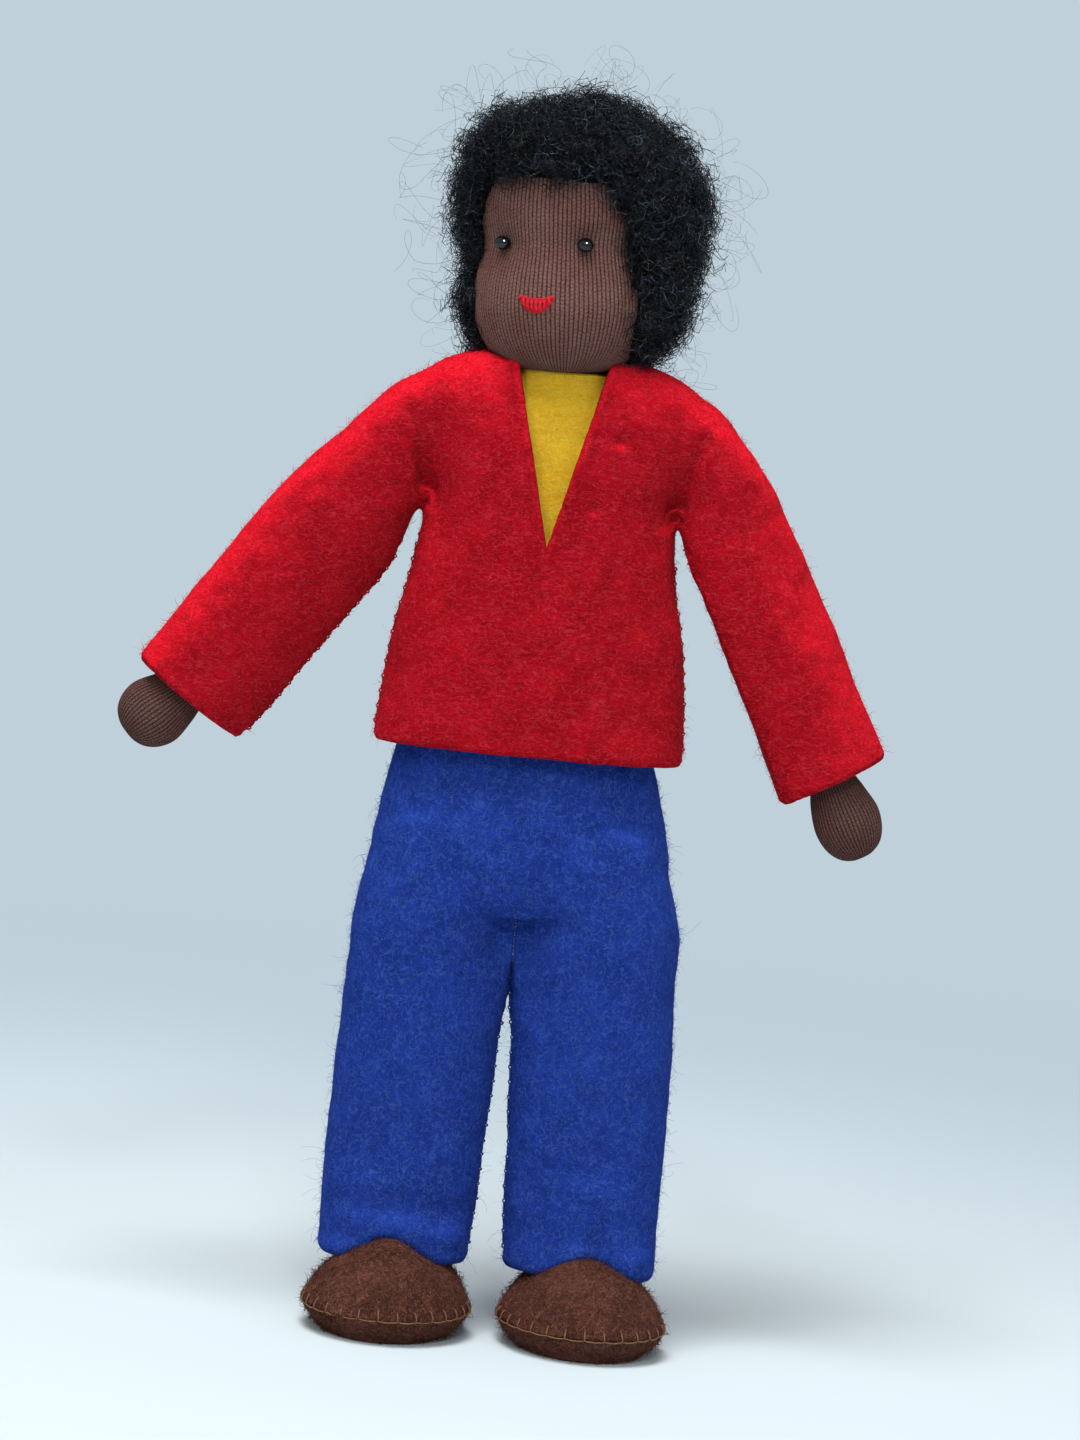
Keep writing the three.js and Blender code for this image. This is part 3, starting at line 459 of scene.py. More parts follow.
def grid_faces(rows, sides, wrap=False):
    """Quads between rings of points; wrap joins the last ring to the first."""
    row = np.arange(rows if wrap else rows - 1)[:, None]
    here, above = row * sides, ((row + 1) % rows) * sides
    i = np.arange(sides)[None]
    j = (i + 1) % sides
    return np.stack([here + i, here + j, above + j, above + i], -1).reshape(-1, 4)


def capped(rings):
    """Points and faces of a closed loft over rings, the lowest ring first."""
    rows, sides = rings.shape[:2]
    points = rings.reshape(-1, 3)
    points = np.vstack([points, rings[0].mean(0), rings[-1].mean(0)])
    low, high = rows * sides, rows * sides + 1
    top = (rows - 1) * sides
    faces = [tuple(f) for f in grid_faces(rows, sides)]
    faces += [(low, (i + 1) % sides, i) for i in range(sides)]
    faces += [(high, top + i, top + (i + 1) % sides) for i in range(sides)]
    return points, faces


def axes(z, forward):
    """Rotation whose columns are x, y and z, with y nearest to the direction forward."""
    z = np.asarray(z, float) / np.linalg.norm(z)
    x = np.cross(forward, z)
    x /= np.linalg.norm(x)
    return np.stack([x, np.cross(z, x), z], 1)


def placed(outline, keys, turn, origin, shifts=0.0, rolls=0.0):
    """Rings of an outline, each with its half width, half depth and height, in turn's frame."""
    sizes, heights = keys[:, :2], keys[:, 2]
    rings = outline[None] * sizes[:, None]
    c, s = (f(np.broadcast_to(rolls, len(rings)))[:, None] for f in (np.cos, np.sin))
    x = rings[..., 0] * c - rings[..., 1] * s + shifts
    y = rings[..., 0] * s + rings[..., 1] * c
    z = np.broadcast_to(heights[:, None], x.shape)
    return np.stack([x, y, z], -1) @ turn.T + origin


def waves(points, size, seed):
    """Soft noise from -1 to 1 at each point, with waves about that size long."""
    shift = Vector((seed * 7.3, seed * 3.1, seed * 5.7))
    return np.array([noise.noise(Vector(p) / size + shift) for p in points])


def spun(angle):
    """Rotation about z by an angle."""
    c, s = math.cos(angle), math.sin(angle)
    return np.array(((c, -s, 0), (s, c, 0), (0, 0, 1)))


# Objects


def linked(name, data):
    """A new object in the scene's own collection."""
    obj = bpy.data.objects.new(name, data)
    bpy.context.scene.collection.objects.link(obj)
    return obj


def coordinates(mesh):
    """A mesh's points, in metres."""
    points = np.zeros(len(mesh.vertices) * 3, np.float32)
    mesh.vertices.foreach_get("co", points)
    return points.reshape(-1, 3)


def put(name, points, faces, finish=None, normals=None, uv=None):
    """A mesh object from points in millimetres, with smooth faces."""
    mesh = bpy.data.meshes.new(name)
    mesh.from_pydata((np.asarray(points) * MM).tolist(), [], [tuple(map(int, f)) for f in faces])
    if finish is not None:
        mesh.materials.append(finish)
    mesh.shade_smooth()
    if uv is not None:
        layer = mesh.uv_layers.new(name="count")
        layer.data.foreach_set("uv", np.asarray(uv, np.float32).ravel())
    if normals is not None:
        mesh.normals_split_custom_set_from_vertices(np.asarray(normals).tolist())
    return linked(name, mesh)


def plain(obj, name, finish=None):
    """The object as its modifiers leave it, as a new plain mesh; the old object goes."""
    bpy.context.view_layer.update()
    graph = bpy.context.evaluated_depsgraph_get()
    mesh = bpy.data.meshes.new_from_object(
        obj.evaluated_get(graph), preserve_all_data_layers=True, depsgraph=graph)
    mesh.name = name
    bpy.data.objects.remove(obj)
    made = linked(name, mesh)
    if finish is not None:
        mesh.materials.clear()
        mesh.materials.append(finish)
        mesh.polygons.foreach_set("material_index", np.zeros(len(mesh.polygons), np.int32))
    return made


def joined(parts):
    """Points and faces of several parts as one."""
    points, faces, start = [], [], 0
    for part in parts:
        points.append(part[0])
        faces += [tuple(int(i) + start for i in f) for f in part[1]]
        start += len(part[0])
    return np.vstack(points), faces


def mesh_lists(skin):
    """The points and the faces of a bmesh, which goes."""
    points = np.array([v.co for v in skin.verts])
    faces = [tuple(v.index for v in f.verts) for f in skin.faces]
    skin.free()
    return points, faces


def sphere(around, top_light_mask, radius):
    """Points and faces of a ball with its poles on the z axis."""
    rise = np.linspace(-np.pi / 2, np.pi / 2, top_light_mask + 1)[1:-1]
    rings = oval(around, 2, 2)[None] * np.cos(rise)[:, None, None]
    heights = np.broadcast_to(np.sin(rise)[:, None, None], (len(rise), around, 1))
    points, faces = capped(np.concatenate([rings, heights], 2) * radius)
    points[-2:, 2] = -radius, radius
    return points, faces


def felted(solids, voxel, rounds):
    """One closed skin over solids that run into each other, in millimetres, as bmesh."""
    points, faces = joined(solids)
    mesh = bpy.data.meshes.new("skin")
    mesh.from_pydata(points.tolist(), [], faces)
    obj = linked("skin", mesh)
    remesh = obj.modifiers.new("remesh", "REMESH")
    remesh.mode = "VOXEL"
    remesh.voxel_size = voxel
    soft = obj.modifiers.new("smooth", "SMOOTH")
    soft.factor = 0.5
    soft.iterations = rounds
    made = plain(obj, "skin")
    skin = bmesh.new()
    skin.from_mesh(made.data)
    bpy.data.objects.remove(made)
    return skin


def soften(skin, verts, rounds):
    for _ in range(rounds):
        bmesh.ops.smooth_vert(
            skin, verts=verts, factor=0.5, use_axis_x=True, use_axis_y=True, use_axis_z=True)


def cut(skin, at, beyond, near=None, drop=True):
    """Cuts the skin along a plane and drops what lies beyond it."""
    skin.faces.ensure_lookup_table()
    faces = [f for f in skin.faces if near is None or near(f.calc_center_median())]
    # In a fixed order, so that each run numbers the new points alike.
    edges = dict.fromkeys(e for f in faces for e in f.edges)
    verts = dict.fromkeys(v for f in faces for v in f.verts)
    bmesh.ops.bisect_plane(
        skin, geom=[*verts, *edges, *faces], dist=0.02, plane_co=Vector(at),
        plane_no=Vector(beyond), clear_outer=drop)


def centres_of(skin):
    return np.array([f.calc_center_median() for f in skin.faces])


def drop_faces(skin, out):
    """Drops the faces that out says."""
    gone = [f for f, is_out in zip(skin.faces, out) if is_out]
    bmesh.ops.delete(skin, geom=gone, context="FACES")


def even_edge(skin, near, rounds):
    """Evens out the open edge where near says so."""
    edge = [v for v in skin.verts if v.is_boundary and near(v.co)]
    beside = {v: [e.other_vert(v) for e in v.link_edges if e.is_boundary] for v in edge}
    for _ in range(rounds):
        moved = {
            v: v.co * 0.5 + (b[0].co + b[1].co) * 0.25 for v, b in beside.items() if len(b) == 2}
        for v, co in moved.items():
            v.co = co


# How far a cut edge of felt swells, as a share of the felt's thickness.
EDGE_BULGE = 0.32


class Skin:
    """The outside of a garment as points, normals and faces, in millimetres."""

    def __init__(self, skin):
        bmesh.ops.dissolve_degenerate(skin, dist=0.1, edges=skin.edges[:])
        loose = [v for v in skin.verts if not v.link_faces]
        bmesh.ops.delete(skin, geom=loose, context="VERTS")
        skin.verts.index_update()
        skin.verts.ensure_lookup_table()
        self.points, self.faces = mesh_lists(skin)
        self.renew()

    def renew(self):
        """Works out the normals again after the points have moved."""
        mesh = bpy.data.meshes.new("normals")
        mesh.from_pydata(self.points.tolist(), [], self.faces)
        normals = np.zeros(len(self.points) * 3, np.float32)
        mesh.vertices.foreach_get("normal", normals)
        bpy.data.meshes.remove(mesh)
        self.normals = normals.reshape(-1, 3).astype(float)
        self.centres = np.array([self.points[list(f)].mean(0) for f in self.faces])
        self.edges = {(f[i - 1], f[i]) for f in self.faces for i in range(len(f))}

    def push(self, by):
        """Moves each point out along its normal."""
        self.points = self.points + self.normals * by[:, None]
        self.renew()

    def part(self, chosen):
        """The points of the chosen faces, and those faces with their points' new numbers."""
        faces = [self.faces[i] for i in chosen]
        used = sorted({i for f in faces for i in f})
        index = {old: new for new, old in enumerate(used)}
        return used, [tuple(index[i] for i in f) for f in faces]

    def emitter(self, name, chosen):
        """The chosen faces as an object that fibres are scattered on."""
        used, faces = self.part(chosen)
        return put(name, self.points[used], faces)

    def shell(self, name, chosen, thickness, finish):
        """The chosen faces as felt of that thickness, with its cut edges rounded."""
        used, faces = self.part(chosen)
        count = len(used)
        outer, normals = self.points[used], self.normals[used]
        edges = {(f[i - 1], f[i]) for f in faces for i in range(len(f))}
        border = sorted(e for e in edges if (e[1], e[0]) not in edges)
        outward = np.zeros((count, 3))
        for i, j in border:
            if (used[j], used[i]) not in self.edges:
                run = np.cross(outer[j] - outer[i], normals[i] + normals[j])
                outward[[i, j]] += run / max(np.linalg.norm(run), TINY)
        size = np.linalg.norm(outward, axis=1)
        outward /= np.maximum(size, TINY)[:, None]
        on_edge = (size > 0.1)[:, None]
        ring = sorted({i for e in border for i in e})
        place = {old: new for new, old in enumerate(ring)}
        points = [outer - normals * 0.1 * thickness * on_edge]
        points.append(outer - normals * thickness * (1 - 0.1 * on_edge))
        turned = [normals + outward * 0.7, -normals + outward * 0.7]
        for share in (0.3, 0.7):
            swell = EDGE_BULGE * thickness * math.sin(math.pi * share)
            back = normals[ring] * thickness * share
            points.append(outer[ring] - back + outward[ring] * swell)
            lean = math.cos(math.pi * share)
            turned.append(normals[ring] * lean + outward[ring] + 1e-6)
        made = list(faces)
        made += [tuple(i + count for i in reversed(f)) for f in faces]
        first, second = 2 * count, 2 * count + len(ring)
        for i, j in border:
            a, b = place[i], place[j]
            made.append((j, i, first + a, first + b))
            made.append((first + b, first + a, second + a, second + b))
            made.append((second + b, second + a, count + i, count + j))
        turned = np.vstack(turned)
        turned /= np.maximum(np.linalg.norm(turned, axis=1), TINY)[:, None]
        return put(name, np.vstack(points), made, finish, turned)


# Fibres, curls and threads


def line_lengths(line):
    """How far along a line of points each point is."""
    steps = np.linalg.norm(np.diff(line, axis=0), axis=1)
    return np.concatenate([[0], np.cumsum(steps)])


def tube(path, radius, sides=3, taper=1.0):
    """Points and faces of a closed tube along a path, narrowing to taper at its end."""
    path = np.asarray(path, float)
    run = np.gradient(path, axis=0)
    run /= np.maximum(np.linalg.norm(run, axis=1), TINY)[:, None]
    across = np.cross(run[0], (0.31, 0.59, 0.74))
    rings = []
    for i, point in enumerate(path):
        across = across - run[i] * (across @ run[i])
        across /= max(np.linalg.norm(across), TINY)
        up = np.cross(run[i], across)
        turn = np.arange(sides) * 2 * np.pi / sides
        size = radius * (1 + (taper - 1) * i / (len(path) - 1))
        rings.append(point + size * (np.cos(turn)[:, None] * across + np.sin(turn)[:, None] * up))
    faces = [tuple(f) for f in grid_faces(len(path), sides)]
    last = (len(path) - 1) * sides
    faces.append(tuple(reversed(range(sides))))
    faces.append(tuple(range(last, last + sides)))
    return np.vstack(rings), faces


def thread(path, radius, sides, twists):
    """A tube with a UV map for its twist, with ends that round off."""
    path = np.asarray(path, float)
    points, faces = tube(path, radius, sides)
    rows = len(path)
    centre = np.repeat(path, sides, 0)
    size = np.ones(rows)
    size[[0, -1]] = 0.45
    points = centre + (points - centre) * np.repeat(size, sides)[:, None]
    along = line_lengths(path) * twists
    uv = []
    for f in faces:
        corners = [(i % sides / sides, along[i // sides]) for i in f]
        if max(c[0] for c in corners) - min(c[0] for c in corners) > 0.6:
            corners = [(u + 1 if u < 0.5 else u, v) for u, v in corners]
        uv += corners
    return points, faces, uv


def strung(name, parts, finish=None):
    """An object from a thread's points, faces and UV map."""
    points, faces, uv = parts
    return put(name, points, faces, finish, None, uv)


def threads_of(parts):
    """Points, faces and UV map of several threads as one."""
    return *joined(parts), [corner for part in parts for corner in part[2]]


def spike(path, radius):
    """A tapering fibre that ends in a point, with very few faces."""
    points, faces = tube(path[:-1], radius, 3, 0.7)
    last = len(points) - 3
    faces = faces[:-1] + [(last + i, last + (i + 1) % 3, len(points)) for i in range(3)]
    return np.vstack([points, path[-1]]), faces


def headed(heading, x, y, z):
    """A path turned about z by its heading."""
    c, s = math.cos(heading), math.sin(heading)
    return np.stack([x * c - y * s, x * s + y * c, z], 1)


def nap_path(draw, size):
    """A short fibre that lies almost flat on the felt."""
    heading = draw.uniform(0, math.tau)
    out = np.array([0.0, 0.5, 1.0]) * size
    side = np.array([0.0, 0.12, 0.0]) * size * draw.uniform(-1, 1)
    up = np.array([-0.03, 0.2 * draw.uniform(0.6, 1.6), 0.26 * draw.uniform(-0.3, 2.2)]) * size
    return headed(heading, out, side, up)


def fibre_path(draw, size):
    """A short fibre that rises and bends over."""
    heading = draw.uniform(0, math.tau)
    turn = np.linspace(0, 1, 6)
    bend = draw.uniform(0.4, 1.0)
    side = draw.uniform(-0.5, 0.5)
    x = size * (turn**1.4) * bend
    y = size * (turn**2) * side
    z = size * (turn - 0.42 * turn**2 * (0.4 + bend))
    return headed(heading, x, y, z)


def curl_path(draw, size, coil, turns):
    """A springy curl that leaves the head and leans over."""
    share = np.linspace(0, 1, 11)
    lean = draw.uniform(0.5, 1.6)
    heading = draw.uniform(0, math.tau)
    arch = share * lean
    sway = 0.25 * draw.uniform(-1, 1) * share**2
    axis = np.stack([np.sin(arch) * share, sway, np.cos(arch) * share], 1) * size
    phase = draw.uniform(0, math.tau)
    turn = phase + math.tau * turns * share * (1 + 0.25 * np.sin(3 * share + phase))
    wide = coil * np.minimum(1, share * 4) * (1 + 0.3 * np.sin(5 * share + phase))
    across = np.stack([np.cos(turn) * np.cos(arch), np.sin(turn), -np.cos(turn) * np.sin(arch)], 1)
    path = axis + across * wide[:, None]
    c, s = math.cos(heading), math.sin(heading)
    return path @ np.array([[c, s, 0], [-s, c, 0], [0, 0, 1]])


def stray_path(draw, size):
    """A long loose hair that wanders in a wide loop."""
    share = np.linspace(0, 1, 22)
    loop = draw.uniform(0.08, 0.26) * size
    turns = draw.uniform(0.15, 1.4)
    phase = draw.uniform(0, math.tau)
    turn = phase + math.tau * turns * share
    rise = size * 0.62 * np.sin(share * draw.uniform(1.3, 2.6))
    drift = size * 0.3 * draw.uniform(-1, 1, 2)
    fade = np.minimum(1, share * 3)
    x = drift[0] * share + loop * (np.cos(turn) - math.cos(phase)) * fade
    y = drift[1] * share + loop * 0.6 * (np.sin(turn) - math.sin(phase)) * fade
    z = rise + loop * 0.5 * np.sin(turn * 0.8) * fade
    return np.stack([x, y, np.maximum(z, share * 0.2)], 1)


def variants(name, paths, radius, taper=0.5, shape=None):
    """A collection with one small tube or other shape for each path, in millimetres."""
    group = bpy.data.collections.new(name)
    bpy.context.scene.collection.children.link(group)
    for i, path in enumerate(paths):
        points, faces = shape(path, radius) if shape else tube(path, radius, 3, taper)
        obj = put(f"{name}_{i:02d}", points, faces)
        bpy.context.scene.collection.objects.unlink(obj)
        group.objects.link(obj)
    return group


def forget(group):
    for obj in list(group.objects):
        bpy.data.objects.remove(obj)
    bpy.data.collections.remove(group)


def new_tree(name, inputs):
    """A geometry tree with named inputs, and the nodes that begin and end it."""
    tree = bpy.data.node_groups.new(name, "GeometryNodeTree")
    tree.interface.new_socket("Geometry", in_out="INPUT", socket_type="NodeSocketGeometry")
    for label, kind, default in inputs:
        kind = f"NodeSocket{kind}"
        socket = tree.interface.new_socket(label, in_out="INPUT", socket_type=kind)
        if default is not None:
            socket.default_value = default
    tree.interface.new_socket("Geometry", in_out="OUTPUT", socket_type="NodeSocketGeometry")
    nodes = Nodes(tree)
    start = tree.nodes.new("NodeGroupInput")
    return tree, nodes, {s.name: Signal(nodes, s) for s in start.outputs if s.name}


def end_tree(nodes, instances, finish):
    real = nodes.node("GeometryNodeRealizeInstances", None, {0: instances})
    made = nodes.node("GeometryNodeSetMaterial", None, {"Geometry": real, "Material": finish})
    nodes.node("NodeGroupOutput", None, {0: made})


def scatter_tree():
    """Scatters the members of a collection over a surface, each leaning its own way."""
    tree, nodes, given = new_tree(
        "scatter",
        [
            ("Members", "Collection", None), ("Density", "Float", 1e6), ("Seed", "Int", 1),
            ("Smallest", "Float", 0.7), ("Largest", "Float", 1.3), ("Lean", "Float", 0.4),
            ("Count", "Int", 8), ("Finish", "Material", None)])
    spread = tree.nodes.new("GeometryNodeDistributePointsOnFaces")
    for label, socket in (("Geometry", "Mesh"), ("Density", "Density"), ("Seed", "Seed")):
        tree.links.new(given[label].socket, spread.inputs[socket])
    lean = given["Lean"]
    low = nodes.node("ShaderNodeCombineXYZ", None, {0: 0.0 - lean, 1: 0.0 - lean, 2: 0.0})
    high = nodes.node("ShaderNodeCombineXYZ", None, {0: lean, 1: lean, 2: math.tau})
    tilt = nodes.random("FLOAT_VECTOR", low, high, 3)
    turn = nodes.node(
        "FunctionNodeRotateRotation", {"rotation_space": "LOCAL"},
        {0: Signal(nodes, spread.outputs["Rotation"]), 1: tilt})
    size = nodes.random("FLOAT", given["Smallest"], given["Largest"], 5)
    last = nodes.node("ShaderNodeMath", {"operation": "SUBTRACT"}, {0: given["Count"], 1: 1})
    which = nodes.random("INT", 0, last, 7)
    members = nodes.node(
        "GeometryNodeCollectionInfo", None,
        {"Collection": given["Members"], "Separate Children": True, "Reset Children": True})
    placed_on = nodes.node(
        "GeometryNodeInstanceOnPoints", None,
        {
            "Points": Signal(nodes, spread.outputs["Points"]), "Instance": members,
            "Pick Instance": True, "Instance Index": which, "Rotation": turn, "Scale": size})
    end_tree(nodes, placed_on, given["Finish"])
    return tree


def stitch_tree():
    """Sets one stitch at each point, its z along the point's facing and its x along its run."""
    tree, nodes, given = new_tree(
        "stitches",
        [
            ("Stitch", "Object", None), ("Smallest", "Float", 0.9), ("Largest", "Float", 1.1),
            ("Seed", "Int", 1), ("Finish", "Material", None)])
    facing, run = (
        nodes.node("GeometryNodeInputNamedAttribute", {"data_type": "FLOAT_VECTOR"}, {0: name})
        for name in ("facing", "run"))
    upright = nodes.node("FunctionNodeAlignRotationToVector", {"axis": "Z"}, {"Vector": facing})
    turned = nodes.node(
        "FunctionNodeAlignRotationToVector", {"axis": "X", "pivot_axis": "Z"},
        {"Rotation": upright, "Vector": run})
    size = nodes.random("FLOAT", given["Smallest"], given["Largest"], given["Seed"])
    stitch = nodes.node(
        "GeometryNodeObjectInfo", {"transform_space": "ORIGINAL"}, {"Object": given["Stitch"]},
        "Geometry")
    placed_on = nodes.node(
        "GeometryNodeInstanceOnPoints", None,
        {"Points": given["Geometry"], "Instance": stitch, "Rotation": turned, "Scale": size})
    end_tree(nodes, placed_on, given["Finish"])
    return tree


def grown_on(obj, tree, name, values):
    """Runs a geometry tree on the object and returns what it makes as a plain mesh."""
    modifier = obj.modifiers.new("grow", "NODES")
    modifier.node_group = tree
    for item in tree.interface.items_tree:
        if item.in_out == "INPUT" and item.name in values:
            modifier[item.identifier] = values[item.name]
    return plain(obj, name, values["Finish"])


def tree_named(name, maker):
    return bpy.data.node_groups.get(name) or maker()


def worn(piece, body, slot, *nodes):
    """Lets a piece ride a body and stand in for the nodes; slot is not used."""
    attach(piece, body)
    if nodes:
        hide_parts(*nodes)
    return piece


def fuzz_on(emitter, name, members, density, seed, finish, lean=0.75, sizes=(0.5, 1.5)):
    """Scatters fibres; density is their number on a square millimetre."""
    return grown_on(
        emitter, tree_named("scatter", scatter_tree), name,
        {
            "Members": members, "Density": density * 1e6, "Seed": seed, "Smallest": sizes[0],
            "Largest": sizes[1], "Lean": lean, "Count": len(members.objects), "Finish": finish})


def stitches_along(name, places, facing, run, stitch, finish, seed=1, sizes=(0.92, 1.08)):
    """One stitch at each place, in millimetres."""
    points = put(name + "_places", places, [])
    for label, values in (("facing", facing), ("run", run)):
        attribute = points.data.attributes.new(label, "FLOAT_VECTOR", "POINT")
        attribute.data.foreach_set("vector", np.asarray(values, np.float32).ravel())
    return grown_on(
        points, tree_named("stitches", stitch_tree), name,
        {
            "Stitch": stitch, "Smallest": sizes[0], "Largest": sizes[1], "Seed": seed,
            "Finish": finish})


# Skeleton: the joints' places in millimetres


def joint(name):
    return next(j for j in frame["joints"] if j["name"] == name)


def pivot(name):
    return np.array(joint(name)["pos_m"]) / MM


def middle(node):
    low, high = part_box(node)
    return (np.array(low) + np.array(high)) / 2 / MM


FRONT = np.array((0.0, -1.0, 0.0))
BACK = -FRONT
UP = np.array((0.0, 0.0, 1.0))
SIDES = {"left": 1, "right": -1}
ARM_TWIST = {"left": math.radians(40), "right": 0.0}
WRIST_LEAN = {"left": 0.0, "right": math.radians(13)}
HAND_SIZE = {"left": (0.97, 1.04), "right": (0.93, 0.93)}
# The hands' knit is darker than the head's by this factor.
HAND_SHADE = 0.66
# Half the head's width at the mouth, and how far out a line to the face starts.
FACE_RADIUS = 10.4
OUTSIDE_HEAD = 14


class Place:
    """A frame of its own within the doll's, with an origin and a turn."""

    def inside(self, points):
        return (np.asarray(points) - self.origin) @ self.turn

    def outside(self, points):
        return np.asarray(points) @ self.turn.T + self.origin


class Head(Place):
    """The head's own frame and outline: z up its axis, y to its back."""

    flatness = 0.96
    outline = spline(
        [
            (0.8, 0.8), (3.4, 0.85), (6.6, 1.7), (9.3, 3.9), (10.8, 7.6), (10.7, 11.0),
            (10.05, 15.5), (10.4, 20.3), (9.2, 25.4), (6.4, 28.8), (2.8, 30.5), (0.5, 30.8)],
        160)

    def __init__(self):
        self.origin = pivot("head_turn")
        up = np.array(joint("head_turn")["axis"], float)
        between = (middle("eye_left") + middle("eye_right")) / 2 - self.origin
        self.turn = axes(up, -between)

    def room(self, points):
        """How far each point lies outside the head, sideways, in millimetres."""
        own = self.inside(points)
        radius = np.interp(own[:, 2], self.outline[:, 1], self.outline[:, 0])
        below = own[:, 2] < self.outline[0, 1]
        reach = np.hypot(own[:, 0], own[:, 1] / self.flatness)
        return np.where(below, 9.0, reach - radius)


def limb_turn(top, bottom, side):
    """The frame of a limb: z up the limb, x away from the body."""
    turn = axes(pivot(f"{top}_{side}") - pivot(f"{bottom}_{side}"), BACK)
    if turn[0, 0] * SIDES[side] < 0:
        turn[:, :2] *= -1
    return turn


def loft_line(solid, sides, index):
    """One point of each ring of a loft, from the last ring to the first."""
    return solid[0][:-2].reshape(-1, sides, 3)[::-1, index]


head = Head()
waist = pivot("waist_bend")
middle_x, middle_y = waist[:2]
# Points round the lofts of the tunic's body and of sleeves and legs.
TORSO_SIDES = 64
LIMB_SIDES = 48

# Tunic


def torso_solid():
    """The tunic's body without its sleeves: half width, half depth and height."""
    rings = spline(
        [
            (18.7, 9.6, -7.5), (18.2, 9.3, -2.5), (17.1, 8.8, 8.0), (14.6, 8.1, 20.6),
            (15.6, 7.8, 28.0), (17.4, 7.0, 33.2), (17.2, 6.1, 36.4), (15.3, 5.2, 38.6),
            (12.4, 4.4, 40.2), (8.6, 3.6, 41.1), (5.0, 2.6, 41.3)],
        110)
    return capped(placed(oval(TORSO_SIDES, 2.7, 2.7), rings, np.eye(3), waist))


def sleeve_turn(side):
    return limb_turn("arm_swing", "elbow", side)


# How far down the arm the cuff is.
CUFF_REACH = 44.4
# Each sleeve: half width, half depth, shift to the body and distance down the arm.
SLEEVES = {
    "left": [
        (7.9, 5.4, 0.0, CUFF_REACH + 2.5), (7.85, 5.3, 0.0, CUFF_REACH - 4),
        (7.7, 4.9, -0.3, 24.0), (6.9, 5.0, -0.2, 11.0), (5.8, 5.0, 0.0, 3.0),
        (4.3, 4.2, 0.2, -2.0), (2.0, 2.0, 0.4, -4.6)],
    "right": [
        (7.8, 5.4, 0.05, CUFF_REACH + 2.5), (7.9, 5.3, 0.0, CUFF_REACH - 7),
        (8.1, 5.0, 0.05, 27.0), (7.95, 5.0, 0.3, 16.0), (7.1, 5.1, 0.7, 8.0), (5.8, 5.0, 0.4, 1.0),
        (4.2, 4.1, 0.3, -2.6), (2.0, 2.0, 0.2, -4.8)]}


def sleeve_solid(side):
    start, elbow = pivot(f"arm_swing_{side}"), pivot(f"elbow_{side}")
    keys = spline(SLEEVES[side], 80)
    upper = np.linalg.norm(elbow - start)
    share = np.clip(keys[:, 3] / upper, 0, 1)
    rolls = ARM_TWIST[side] * share**2 * (3 - 2 * share) * SIDES[side]
    outline = oval(LIMB_SIDES, 1.75, 2.2)
    rings = np.stack([keys[:, 0], keys[:, 1], -keys[:, 3]], 1)
    return capped(placed(outline, rings, sleeve_turn(side), start, -keys[:, 2:3], rolls))


# The tunic's fold from the armpit to the shoulder: its lower end and the direction across it,
# for the doll's left side, from the middle of the waist joint.
FOLD_FOOT = np.array((14.4, 0.0, 21.0))
FOLD_ACROSS = np.array((0.993, 0.0, -0.118))


def mirrored(vector, side):
    return np.asarray(vector) * np.array((SIDES[side], 1, 1))


def past_fold(points, side):
    foot = waist + mirrored(FOLD_FOOT, side)
    return (points - foot) @ mirrored(FOLD_ACROSS, side)


def down_arm(points, side):
    start = pivot(f"arm_swing_{side}")
    return -((points - start) @ sleeve_turn(side))[:, 2]


# The V neck: its point and its top above the waist, and half its width at the top.
NECK_POINT = 15.6
NECK_TOP = 39.0
NECK_HALF = 5.75
# How far the felt under each arm is lifted, to where the two seams meet.
ARMPIT_LIFT = {"left": 2.4, "right": 2.8}


def raise_armpits(skin):
    skin.normal_update()
    for side in SIDES:
        web = [
            v for v in skin.verts if abs((v.co.x - middle_x) * SIDES[side] - 14.8) < 3.2
            and abs(v.co.z - waist[2] - 19.5) < 4 and abs(v.co.y - middle_y) < 2
            and v.normal.z < -0.8]
        if not web:
            raise RuntimeError(f"no armpit found on the {side}")
        top = max(web, key=lambda v: v.co.z).co.copy()
        around = []
        for v in skin.verts:
            near = ((v.co.x - top.x) / 2.4) ** 2 + ((v.co.z - top.z) / 3.2) ** 2
            if near < 6:
                v.co.z += ARMPIT_LIFT[side] * math.exp(-near)
                around.append(v)
        soften(skin, around, 8)


